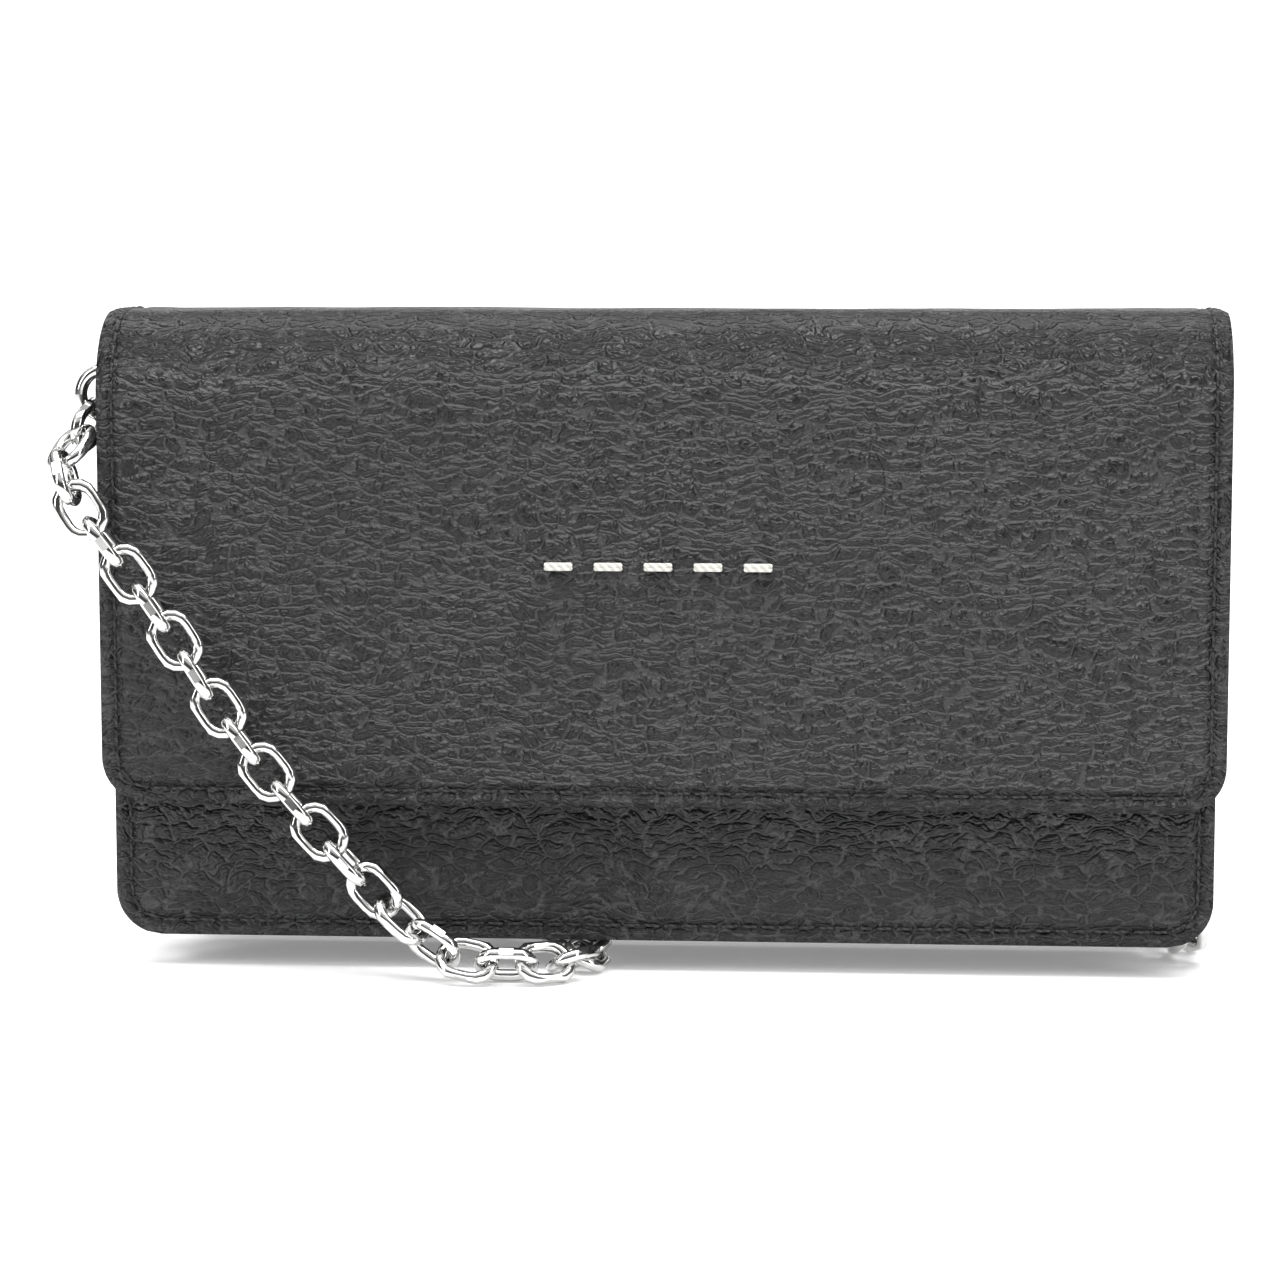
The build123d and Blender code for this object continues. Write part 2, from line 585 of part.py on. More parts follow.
UNDER_FRONT = station_under_front()
front_row = fitted_row(LINK_HALF_LONG, UNDER_FRONT)
rear_row = fitted_row(UNDER_FRONT, ROUTE_LENGTH - LINK_HALF_LONG)
stations = front_row + rear_row[1:]
FLAT_LINK = len(front_row) - 1  # the link that lies flat under the front edge

# A link's roll about the route is a lean, shared with its neighbours, and a tilt that changes
# sign from link to link. Both are read by the link's place, counted from the one under the
# front edge, in degrees. Under the wallet the links lie flatter, as its weight presses them.
LAST_LINK = len(stations) - 1 - FLAT_LINK
END_LEAN = 45 if LAST_LINK % 2 else -45
LEAN = [(-22, -71), (-21, -45), (-20, -55), (-9, -60), (-4, 0), (LAST_LINK - 8, 0),
        (LAST_LINK - 1, END_LEAN), (LAST_LINK, END_LEAN)]
TILT = [(-2, 45), (-1, 29), (5, 29), (7, 45)]
LAID = (-3, LAST_LINK - 16)  # these links lie on the table


def between(table, at):
    """Read a table of (place, value) at a place, in straight lines."""
    for (x0, y0), (x1, y1) in zip(table, table[1:]):
        if x0 <= at <= x1:
            return y0 + (y1 - y0) * (at - x0) / (x1 - x0)
    return table[0][1] if at < table[0][0] else table[-1][1]


def square_to(along, vector):
    """The part of a vector that is square to a direction, at length 1."""
    return (vector - along * vector.dot(along)).normalized()


def carried_normals():
    """The table's upward normal, carried on past the laid links without twist."""
    first, last = LAID[0] + FLAT_LINK, LAID[1] + FLAT_LINK
    normals = {index: square_to(heading(stations[index]), Vector(0, 0, 1))
               for index in range(first, last + 1)}
    for index in range(last + 1, len(stations)):
        normals[index] = square_to(heading(stations[index]), normals[index - 1])
    for index in range(first - 1, -1, -1):
        normals[index] = square_to(heading(stations[index]), normals[index + 1])
    return normals


NORMALS = carried_normals()


def link_place(index):
    """Where a link lies: its middle, its long axis and the normal of its plane."""
    counted = index - FLAT_LINK
    along = heading(stations[index])
    tilt = between(TILT, counted) * (1 if counted % 2 == 0 else -1)
    roll = between(LEAN, counted) + tilt
    normal = NORMALS[index].rotate(Axis((0, 0, 0), along), roll)
    if index == 0:
        normal = square_to(along, Vector(1, 0, 0))
    if index == len(stations) - 1:
        normal = square_to(along, Vector(0, 1, 0))
    return Plane(origin=spot(stations[index]), x_dir=along, z_dir=normal).location


# ---- the links ---------------------------------------------------------------------------------
with BuildPart() as link:
    half_straight = LINK_HALF_LONG - LINK_HALF_WIDE
    with BuildLine() as link_middle:
        Line((-half_straight, -LINK_HALF_WIDE), (half_straight, -LINK_HALF_WIDE))
        RadiusArc((half_straight, -LINK_HALF_WIDE), (half_straight, LINK_HALF_WIDE),
                  -LINK_HALF_WIDE)
        Line((half_straight, LINK_HALF_WIDE), (-half_straight, LINK_HALF_WIDE))
        RadiusArc((-half_straight, LINK_HALF_WIDE), (-half_straight, -LINK_HALF_WIDE),
                  -LINK_HALF_WIDE)
    with BuildSketch(Plane(origin=(0, -LINK_HALF_WIDE, 0), z_dir=(1, 0, 0))):
        Circle(LINK_WIRE / 2)
    sweep(path=link_middle.wire())
    split(bisect_by=Plane.XZ.offset(-FACET_HALF_WIDE), keep=Keep.TOP)
    split(bisect_by=Plane.XZ.offset(FACET_HALF_WIDE), keep=Keep.BOTTOM)

LINKS_ON_TABLE = FLAT_LINK - 3
LINKS_BEHIND = FLAT_LINK + 8
LINKS_RISING = len(stations) - 15
hank = LINKS_RISING - LINKS_BEHIND
GROUPS = {
    "chain_drape": (0, LINKS_ON_TABLE),
    "chain_under_wallet": (LINKS_ON_TABLE, LINKS_BEHIND),
    "chain_hank_outer": (LINKS_BEHIND, LINKS_BEHIND + hank * 4 // 9),
    "chain_hank_middle": (LINKS_BEHIND + hank * 4 // 9, LINKS_BEHIND + hank * 7 // 9),
    "chain_hank_inner": (LINKS_BEHIND + hank * 7 // 9, LINKS_RISING),
    "chain_rise": (LINKS_RISING, len(stations)),
}
for node, (first, last) in GROUPS.items():
    with BuildPart() as stretch:
        with Locations(*[link_place(index) for index in range(first, last)]):
            add(link.part)
    finish(stretch, node)
print("links in all:", len(stations), "strap:", round(ROUTE_LENGTH, 0), "mm")
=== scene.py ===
"""A long flap wallet of pebbled black leather, standing on its own cable chain strap."""

import logging
import math
import random
from dataclasses import dataclass, field
from enum import Enum

import bmesh
import bpy
from mathutils import Matrix, Vector, noise


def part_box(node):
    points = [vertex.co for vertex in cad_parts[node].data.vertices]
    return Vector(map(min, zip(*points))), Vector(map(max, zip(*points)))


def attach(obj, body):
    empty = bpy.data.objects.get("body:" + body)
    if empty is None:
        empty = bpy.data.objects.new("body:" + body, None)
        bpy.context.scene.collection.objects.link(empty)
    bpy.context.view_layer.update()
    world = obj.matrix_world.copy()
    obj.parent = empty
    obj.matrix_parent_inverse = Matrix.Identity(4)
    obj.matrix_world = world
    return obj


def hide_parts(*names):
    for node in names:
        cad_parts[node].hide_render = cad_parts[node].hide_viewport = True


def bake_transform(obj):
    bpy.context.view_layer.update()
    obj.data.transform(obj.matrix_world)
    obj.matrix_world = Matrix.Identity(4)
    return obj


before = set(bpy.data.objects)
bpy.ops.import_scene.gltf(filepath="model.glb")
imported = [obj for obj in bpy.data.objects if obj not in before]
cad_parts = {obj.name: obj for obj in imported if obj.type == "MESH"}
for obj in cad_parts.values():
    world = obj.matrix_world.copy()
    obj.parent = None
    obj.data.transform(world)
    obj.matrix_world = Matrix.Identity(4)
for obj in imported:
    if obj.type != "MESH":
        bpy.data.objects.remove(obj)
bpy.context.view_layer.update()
MM = 0.001
logging.basicConfig(level=logging.INFO, format="%(message)s")
log = logging.getLogger("wallet")


# ---- shared effects ----------------------------------------------------------------------


def socket(tree: bpy.types.NodeTree, name: str, kind: str, outward: bool, value: float = 0.0) -> None:
    """Add one named socket to a node group.

    Args:
        tree: The group.
        name: The socket's name.
        kind: "Float" or "Vector".
        outward: True for an output.
        value: An input's value where nothing is plugged in.
    """
    made = tree.interface.new_socket(name, in_out="OUTPUT" if outward else "INPUT",
                                     socket_type=f"NodeSocket{kind}")
    if not outward and kind == "Float":
        made.default_value = value


def pebble_group() -> bpy.types.NodeTree:
    """Build the shrunken grain: soft pebbles parted by creases, drawn out along the width.

    Returns:
        A group that puts out Height, Crease and Mottle.
    """
    tree = bpy.data.node_groups.new("ShrunkenGrain", "ShaderNodeTree")
    for name, value in (("Across", 190.0), ("Up", 500.0), ("Wander", 0.009), ("Depth", 1.0)):
        socket(tree, name, "Float", False, value)
    for name in ("Height", "Crease", "Mottle"):
        socket(tree, name, "Float", True)
    nodes, links = tree.nodes, tree.links
    inward, outward = nodes.new("NodeGroupInput"), nodes.new("NodeGroupOutput")
    place = nodes.new("ShaderNodeTexCoord")
    drift = nodes.new("ShaderNodeTexNoise")
    drift.inputs["Scale"].default_value = 95.0
    drift.inputs["Detail"].default_value = 4.0
    centred = nodes.new("ShaderNodeVectorMath")
    centred.operation = "SUBTRACT"
    centred.inputs[1].default_value = (0.5, 0.5, 0.5)
    shove = nodes.new("ShaderNodeVectorMath")
    shove.operation = "SCALE"
    moved = nodes.new("ShaderNodeVectorMath")
    moved.operation = "ADD"
    stretch = nodes.new("ShaderNodeCombineXYZ")
    sized = nodes.new("ShaderNodeVectorMath")
    sized.operation = "MULTIPLY"
    links.new(place.outputs["Object"], drift.inputs["Vector"])
    links.new(drift.outputs["Color"], centred.inputs[0])
    links.new(centred.outputs["Vector"], shove.inputs[0])
    links.new(inward.outputs["Wander"], shove.inputs["Scale"])
    links.new(place.outputs["Object"], moved.inputs[0])
    links.new(shove.outputs["Vector"], moved.inputs[1])
    links.new(inward.outputs["Across"], stretch.inputs["X"])
    links.new(inward.outputs["Up"], stretch.inputs["Y"])
    links.new(inward.outputs["Up"], stretch.inputs["Z"])
    links.new(moved.outputs["Vector"], sized.inputs[0])
    links.new(stretch.outputs["Vector"], sized.inputs[1])
    cells = nodes.new("ShaderNodeTexVoronoi")
    cells.feature = "DISTANCE_TO_EDGE"
    cells.inputs["Scale"].default_value = 1.0
    small = nodes.new("ShaderNodeTexVoronoi")
    small.feature = "DISTANCE_TO_EDGE"
    small.inputs["Scale"].default_value = 2.6
    fine = nodes.new("ShaderNodeTexNoise")
    fine.inputs["Scale"].default_value = 3.2
    fine.inputs["Detail"].default_value = 4.0
    for texture in (cells, small, fine):
        links.new(sized.outputs["Vector"], texture.inputs["Vector"])
    crease = nodes.new("ShaderNodeMapRange")
    crease.interpolation_type = "SMOOTHSTEP"
    crease.inputs["From Max"].default_value = 0.16
    links.new(cells.outputs["Distance"], crease.inputs["Value"])
    little = nodes.new("ShaderNodeMapRange")
    little.interpolation_type = "SMOOTHSTEP"
    little.inputs["From Max"].default_value = 0.28
    little.inputs["To Max"].default_value = 0.34
    links.new(small.outputs["Distance"], little.inputs["Value"])
    patches = nodes.new("ShaderNodeTexNoise")
    patches.inputs["Scale"].default_value = 34.0
    patches.inputs["Detail"].default_value = 2.0
    links.new(place.outputs["Object"], patches.inputs["Vector"])
    pebble = nodes.new("ShaderNodeTexVoronoi")
    pebble.feature = "SMOOTH_F1"
    pebble.inputs["Scale"].default_value = 1.0
    pebble.inputs["Smoothness"].default_value = 0.5
    links.new(sized.outputs["Vector"], pebble.inputs["Vector"])
    crown = nodes.new("ShaderNodeMath")
    crown.operation = "MULTIPLY_ADD"
    crown.inputs[1].default_value = -1.5
    links.new(pebble.outputs["Distance"], crown.inputs[0])
    links.new(crease.outputs["Result"], crown.inputs[2])
    both = nodes.new("ShaderNodeMath")
    both.operation = "ADD"
    links.new(crown.outputs["Value"], both.inputs[0])
    links.new(little.outputs["Result"], both.inputs[1])
    rough = nodes.new("ShaderNodeMath")
    rough.operation = "MULTIPLY_ADD"
    rough.inputs[1].default_value = 0.5
    links.new(fine.outputs["Fac"], rough.inputs[0])
    links.new(both.outputs["Value"], rough.inputs[2])
    depth = nodes.new("ShaderNodeMath")
    depth.operation = "MULTIPLY"
    links.new(rough.outputs["Value"], depth.inputs[0])
    links.new(inward.outputs["Depth"], depth.inputs[1])
    links.new(depth.outputs["Value"], outward.inputs["Height"])
    links.new(crease.outputs["Result"], outward.inputs["Crease"])
    links.new(patches.outputs["Fac"], outward.inputs["Mottle"])
    return tree


def wear_group() -> bpy.types.NodeTree:
    """Build fine handling wear: soft smears.

    Returns:
        A group that puts out one Amount from 0 to 1.
    """
    tree = bpy.data.node_groups.new("HandlingWear", "ShaderNodeTree")
    socket(tree, "Size", "Float", False, 120.0)
    socket(tree, "Amount", "Float", True)
    nodes, links = tree.nodes, tree.links
    inward, outward = nodes.new("NodeGroupInput"), nodes.new("NodeGroupOutput")
    place = nodes.new("ShaderNodeTexCoord")
    smear = nodes.new("ShaderNodeTexNoise")
    smear.inputs["Detail"].default_value = 5.0
    smear.inputs["Distortion"].default_value = 0.6
    links.new(place.outputs["Object"], smear.inputs["Vector"])
    links.new(inward.outputs["Size"], smear.inputs["Scale"])
    shaped = nodes.new("ShaderNodeMapRange")
    shaped.inputs["From Min"].default_value = 0.35
    shaped.inputs["From Max"].default_value = 0.75
    links.new(smear.outputs["Fac"], shaped.inputs["Value"])
    links.new(shaped.outputs["Result"], outward.inputs["Amount"])
    return tree


GRAIN = pebble_group()
WEAR = wear_group()


def blank(name: str) -> tuple[bpy.types.Material, bpy.types.Node]:
    """Make a material with its shader.

    Args:
        name: The material's name.

    Returns:
        The material and its Principled node.
    """
    made = bpy.data.materials.new(name)
    made.use_nodes = True
    return made, made.node_tree.nodes["Principled BSDF"]


def place_group(made: bpy.types.Material, tree: bpy.types.NodeTree, **values: float) -> bpy.types.Node:
    """Put a shared effect into a material.

    Args:
        made: The material.
        tree: The effect.
        values: Its inputs, by name.

    Returns:
        The group's node.
    """
    node = made.node_tree.nodes.new("ShaderNodeGroup")
    node.node_tree = tree
    for key, value in values.items():
        node.inputs[key].default_value = value
    return node


def ranged(made: bpy.types.Material, source: bpy.types.NodeSocket, low: float, high: float,
           target: bpy.types.NodeSocket) -> None:
    """Feed a socket from a mask, spread between two values.

    Args:
        made: The material.
        source: The mask, from 0 to 1.
        low: The value where the mask is 0.
        high: The value where it is 1.
        target: The socket to feed.
    """
    node = made.node_tree.nodes.new("ShaderNodeMapRange")
    node.inputs["To Min"].default_value = low
    node.inputs["To Max"].default_value = high
    made.node_tree.links.new(source, node.inputs["Value"])
    made.node_tree.links.new(node.outputs["Result"], target)


def tinted(made: bpy.types.Material, mask: bpy.types.NodeSocket, low: tuple, high: tuple,
           target: bpy.types.NodeSocket) -> None:
    """Feed a colour socket with a ramp between two colours.

    Args:
        made: The material.
        mask: Where the ramp is read.
        low: Colour where the mask is 0.
        high: Colour where it is 1.
        target: The colour socket.
    """
    ramp = made.node_tree.nodes.new("ShaderNodeValToRGB")
    ramp.color_ramp.elements[0].color = (*low, 1.0)
    ramp.color_ramp.elements[1].color = (*high, 1.0)
    made.node_tree.links.new(mask, ramp.inputs["Fac"])
    made.node_tree.links.new(ramp.outputs["Color"], target)


def bumped(made: bpy.types.Material, height: bpy.types.NodeSocket, strength: float,
           distance: float, shader: bpy.types.Node) -> None:
    """Raise a surface by a height mask.

    Args:
        made: The material.
        height: The mask.
        strength: The bump's strength.
        distance: The height of a full mask, in metres.
        shader: The Principled node whose Normal it feeds.
    """
    node = made.node_tree.nodes.new("ShaderNodeBump")
    node.inputs["Strength"].default_value = strength
    node.inputs["Distance"].default_value = distance
    made.node_tree.links.new(height, node.inputs["Height"])
    made.node_tree.links.new(node.outputs["Normal"], shader.inputs["Normal"])


# ---- finishes ------------------------------------------------------------------------------


@dataclass(frozen=True)
class GrainedLeather:
    """Shrunken calf with drawn-out pebbles; its creases are coloured paler as a painted highlight."""

    name: str = "shrunken calf"
    dark: tuple = (0.0040, 0.0040, 0.0042)
    # pale is the crease colour: a painted highlight, as if the crease lines caught the light
    pale: tuple = (0.030, 0.030, 0.031)
    across: float = 190.0
    up: float = 500.0
    depth: float = 1.0
    relief: float = 0.00052

    def material(self) -> bpy.types.Material:
        """Build the leather's material."""
        made, shader = blank(self.name)
        grain = place_group(made, GRAIN, Across=self.across, Up=self.up, Depth=self.depth)
        # painted highlight: the creases take the pale colour, as if they caught the light, and the pebbles
        # take the dark one
        tinted(made, grain.outputs["Crease"], self.pale, self.dark, shader.inputs["Base Color"])
        ranged(made, grain.outputs["Mottle"], 0.24, 0.46, shader.inputs["Roughness"])
        bumped(made, grain.outputs["Height"], 1.0, self.relief, shader)
        shader.inputs["Specular IOR Level"].default_value = 0.42
        return made


@dataclass(frozen=True)
class SmoothLeather:
    """Flat calf lining and painted leather edges."""

    name: str
    colour: tuple = (0.014, 0.014, 0.014)
    sheen: tuple = (0.022, 0.022, 0.022)
    dull: float = 0.52
    bright: float = 0.38
    relief: float = 0.00005

    def material(self) -> bpy.types.Material:
        """Build the smooth leather's material."""
        made, shader = blank(self.name)
        wear = place_group(made, WEAR, Size=90.0)
        fine = place_group(made, GRAIN, Across=1500.0, Up=1700.0, Wander=0.0006, Depth=1.0)
        tinted(made, wear.outputs["Amount"], self.colour, self.sheen, shader.inputs["Base Color"])
        ranged(made, wear.outputs["Amount"], self.dull, self.bright, shader.inputs["Roughness"])
        bumped(made, fine.outputs["Height"], 0.5, self.relief, shader)
        return made


@dataclass(frozen=True)
class PolishedMetal:
    """Polished plated metal with faint handling marks."""

    name: str
    colour: tuple = (0.60, 0.60, 0.595)
    glow: tuple = (0.72, 0.72, 0.71)
    dull: float = 0.16
    bright: float = 0.07

    def material(self) -> bpy.types.Material:
        """Build the metal's material."""
        made, shader = blank(self.name)
        wear = place_group(made, WEAR, Size=260.0)
        tinted(made, wear.outputs["Amount"], self.colour, self.glow, shader.inputs["Base Color"])
        ranged(made, wear.outputs["Amount"], self.bright, self.dull, shader.inputs["Roughness"])
        shader.inputs["Metallic"].default_value = 1.0
        return made


@dataclass(frozen=True)
class Thread:
    """Twisted thread, read along its own stitches."""

    name: str
    dark: tuple
    pale: tuple
    twist: float = 2600.0

    def material(self) -> bpy.types.Material:
        """Build the thread's material."""
        made, shader = blank(self.name)
        nodes, links = made.node_tree.nodes, made.node_tree.links
        place = nodes.new("ShaderNodeTexCoord")
        ply = nodes.new("ShaderNodeTexWave")
        ply.bands_direction = "DIAGONAL"
        ply.inputs["Scale"].default_value = self.twist / 6.0
        links.new(place.outputs["Object"], ply.inputs["Vector"])
        tinted(made, ply.outputs["Fac"], self.dark, self.pale, shader.inputs["Base Color"])
        ranged(made, ply.outputs["Fac"], 0.75, 0.5, shader.inputs["Roughness"])
        bumped(made, ply.outputs["Fac"], 0.6, 0.0001, shader)
        return made


@dataclass(frozen=True)
class Woven:
    """Close woven tape or pressed board."""

    name: str
    dark: tuple
    pale: tuple
    pitch: float = 0.0006

    def material(self) -> bpy.types.Material:
        """Build the woven material."""
        made, shader = blank(self.name)
        nodes, links = made.node_tree.nodes, made.node_tree.links
        place = nodes.new("ShaderNodeTexCoord")
        weft = nodes.new("ShaderNodeTexWave")
        weft.inputs["Scale"].default_value = 0.32 / self.pitch
        weft.inputs["Distortion"].default_value = 0.4
        links.new(place.outputs["Object"], weft.inputs["Vector"])
        tinted(made, weft.outputs["Fac"], self.dark, self.pale, shader.inputs["Base Color"])
        bumped(made, weft.outputs["Fac"], 0.5, 0.00008, shader)
        shader.inputs["Roughness"].default_value = 0.85
        return made


class Finish(Enum):
    """The finishes of the wallet, each named for what wears it."""

    HIDE = GrainedLeather()
    GUSSET_HIDE = GrainedLeather(name="gusset calf", across=330.0, up=520.0, depth=0.7)
    EDGE = SmoothLeather("painted edge", (0.010, 0.010, 0.010), (0.016, 0.016, 0.016), 0.42, 0.3)
    LINING = SmoothLeather("lining calf")
    BOARD = Woven("stiffening board", (0.07, 0.07, 0.07), (0.11, 0.11, 0.11))
    TAPE = Woven("zip tape", (0.012, 0.012, 0.012), (0.03, 0.03, 0.03))
    STRAP = PolishedMetal("bright strap metal")
    FITTING = PolishedMetal("bright fittings", dull=0.22, bright=0.12)
    BLACK_THREAD = Thread("black thread", (0.006, 0.006, 0.006), (0.028, 0.028, 0.028))
    WHITE_THREAD = Thread("undyed thread", (0.50, 0.49, 0.45), (0.74, 0.73, 0.68))


PAINTS: dict[Finish, bpy.types.Material] = {}


def paint(finish: Finish) -> bpy.types.Material:
    """Give a finish's material, made once."""
    if finish not in PAINTS:
        PAINTS[finish] = finish.value.material()
    return PAINTS[finish]


def settle(name: str, work: bmesh.types.BMesh, *finishes: Finish, smooth: bool = True) -> bpy.types.Object:
    """Turn a finished bmesh into a piece at the origin.

    Args:
        name: The piece's name.
        work: Its geometry, in metres in the wallet's frame.
        finishes: One for each material slot.
        smooth: True to shade every face smooth.

    Returns:
        The new object.
    """
    mesh = bpy.data.meshes.new(name)
    if smooth:
        for face in work.faces:
            face.smooth = True
    work.to_mesh(mesh)
    work.free()
    piece = bpy.data.objects.new(name, mesh)
    bpy.context.scene.collection.objects.link(piece)
    for finish in finishes:
        mesh.materials.append(paint(finish))
    return piece


# ---- studio --------------------------------------------------------------------------------


@dataclass
class Studio:
    """A pale sweep, soft lights and the camera."""

    target: tuple = (-0.0031, -0.018, 0.0590)
    distance: float = 0.600
    turn: float = 4.0
    rise: float = 6.5
    lens: float = 98.0

    def camera(self) -> None:
        """Set the camera before the wallet, level and a little to its right."""
        data = bpy.data.cameras.new("camera")
        data.lens, data.sensor_width = self.lens, 36.0
        eye = bpy.data.objects.new("camera", data)
        bpy.context.scene.collection.objects.link(eye)
        turn, rise = math.radians(self.turn), math.radians(self.rise)
        away = Vector((math.sin(turn) * math.cos(rise), -math.cos(turn) * math.cos(rise), math.sin(rise)))
        eye.location = Vector(self.target) + away * self.distance
        eye.rotation_euler = (-away).to_track_quat("-Z", "Y").to_euler()
        bpy.context.scene.camera = eye

    def sweep(self) -> None:
        """Lay the pale floor that curves up far behind the wallet."""
        work = bmesh.new()
        edge = [work.verts.new((-3.0, -2.0, 0.0)), work.verts.new((-3.0, 1.6, 0.0))]
        work.edges.new(edge)
        bmesh.ops.spin(work, geom=[edge[1]], cent=(-3.0, 1.6, 0.8), axis=(1, 0, 0),
                       dvec=(0, 0, 0), angle=math.radians(90), steps=12, use_merge=False)
        drawn = bmesh.ops.extrude_edge_only(work, edges=work.edges[:])
        moved = [item for item in drawn["geom"] if isinstance(item, bmesh.types.BMVert)]
        bmesh.ops.translate(work, vec=(6.0, 0, 0), verts=moved)
        bmesh.ops.recalc_face_normals(work, faces=work.faces[:])
        mesh = bpy.data.meshes.new("sweep")
        for face in work.faces:
            face.smooth = True
        work.to_mesh(mesh)
        work.free()
        floor = bpy.data.objects.new("sweep", mesh)
        bpy.context.scene.collection.objects.link(floor)
        made, shader = blank("paper sweep")
        shader.inputs["Base Color"].default_value = (0.93, 0.93, 0.93, 1.0)
        shader.inputs["Roughness"].default_value = 0.9
        shader.inputs["Emission Color"].default_value = (1.0, 1.0, 1.0, 1.0)
        shader.inputs["Emission Strength"].default_value = 0.22
        mesh.materials.append(made)

    def light(self, name: str, at: tuple, aim: tuple, size: tuple, power: float) -> None:
        """Hang one soft light.

        Args:
            name: The light's name.
            at: Where it hangs.
            aim: What it faces.
            size: Its width and height.
            power: Its power in watts.
        """
        data = bpy.data.lights.new(name, "AREA")
        data.shape = "RECTANGLE"
        data.size, data.size_y, data.energy = size[0], size[1], power
        lamp = bpy.data.objects.new(name, data)
        bpy.context.scene.collection.objects.link(lamp)
        lamp.location = at
        lamp.rotation_euler = (Vector(aim) - Vector(at)).to_track_quat("-Z", "Y").to_euler()

    def build(self) -> None:
        """Make the camera, the sweep, the lights and the pale surroundings."""
        self.camera()
        self.sweep()
        self.light("over", (0.0, -0.12, 0.9), (0.0, 0.0, 0.05), (1.3, 0.5), 14.0)
        self.light("left", (-0.9, -0.7, 0.55), (0.0, 0.0, 0.05), (0.25, 0.8), 4.0)
        self.light("right", (0.95, -0.6, 0.5), (0.0, 0.0, 0.05), (0.25, 0.8), 3.2)
        self.light("behind", (0.0, 1.1, 1.0), (0.0, 1.6, 0.2), (2.4, 0.6), 18.0)
        world = bpy.data.worlds.new("room")
        world.use_nodes = True
        nodes, links = world.node_tree.nodes, world.node_tree.links
        sky, split, ramp = (nodes.new(kind) for kind in (
            "ShaderNodeTexCoord", "ShaderNodeSeparateXYZ", "ShaderNodeValToRGB"))
        links.new(sky.outputs["Generated"], split.inputs["Vector"])
        links.new(split.outputs["Z"], ramp.inputs["Fac"])
        bands = ramp.color_ramp.elements
        bands[0].position, bands[0].color = 0.0, (0.22, 0.22, 0.22, 1)
        bands[1].position, bands[1].color = 0.12, (0.06, 0.06, 0.06, 1)
        for at, grey in ((0.40, 0.10), (0.62, 0.85), (1.0, 0.60)):
            bands.new(at).color = (grey, grey, grey, 1)
        links.new(ramp.outputs["Color"], nodes["Background"].inputs["Color"])
        bpy.context.scene.world = world
        bpy.context.scene.view_settings.view_transform = "Standard"


# ---- chain ---------------------------------------------------------------------------------
ROUTE = (
    (-98.6, -7.3, 97.3),
    (-101.0, -13.4, 94.4),
    (-103.2, -20.4, 88.6),
    (-99.6, -23.6, 81.6),
    (-92.4, -23.0, 72.4),
    (-84.0, -22.8, 60.4),
    (-75.6, -22.7, 46.6),
    (-65.4, -22.6, 33.2),
    (-53.8, -22.7, 20.8),
    (-43.8, -23.8, 10.4),
    (-36.0, -25.4, 4.7),
    (-28.0, -26.6, 3.55),
    (-20.4, -25.6, 3.65),
    (-15.0, -21.2, 3.4),
    (-12.8, -14.6, 2.75),
    (-12.4, -7.0, 2.75),
    (-14.6, 0.4, 2.75),
    (-18.6, 7.4, 2.75),
    (-24.4, 13.6, 2.85),
    (-32.2, 18.6, 3.35),
    (-43.0, 22.4, 3.5),
    (-57.0, 25.4, 3.5),
    (-71.0, 30.4, 3.5),
    (-83.4, 38.4, 3.5),
    (-88.8, 50.8, 3.5),
    (-84.4, 63.6, 3.5),
    (-71.0, 71.6, 3.5),
    (-50.0, 73.4, 3.5),
    (-22.0, 72.2, 3.5),
    (14.0, 73.4, 3.5),
    (46.0, 72.0, 3.5),
    (68.0, 74.6, 3.5),
    (83.4, 74.0, 3.5),
    (91.2, 64.6, 3.5),
    (87.0, 52.6, 3.5),
    (73.0, 48.8, 3.5),
    (50.0, 50.6, 3.5),
    (14.0, 49.0, 3.5),
    (-8.0, 50.4, 3.5),
    (-22.6, 51.0, 3.5),
    (-33.0, 43.6, 3.5),
    (-31.6, 31.8, 3.5),
    (-20.0, 26.2, 3.5),
    (-2.0, 27.2, 3.5),
    (26.0, 25.6, 3.5),
    (50.0, 26.8, 3.5),
    (68.0, 28.0, 3.5),
    (81.0, 26.4, 3.5),
    (89.8, 20.6, 3.5),
    (92.8, 10.4, 3.5),
    (92.9, 1.8, 4.2),
    (92.8, -5.0, 9.6),
    (92.7, -7.3, 17.4),
    (92.7, -7.2, 29.0),
    (92.6, -6.8, 46.0),
    (92.8, -6.9, 68.0),
    (92.8, -6.8, 85.0),
    (93.3, -5.05, 98.5),
)  # millimetres, from the left ring to the right one


def read_between(table: tuple, at: float) -> float:
    """Read a table of (place, value) in straight lines.

    Args:
        table: Pairs in order of place.
        at: The place to read.

    Returns:
        The value there.
    """
    for (x0, y0), (x1, y1) in zip(table, table[1:]):
        if x0 <= at <= x1:
            return y0 + (y1 - y0) * (at - x0) / (x1 - x0)
    return table[0][1] if at < table[0][0] else table[-1][1]


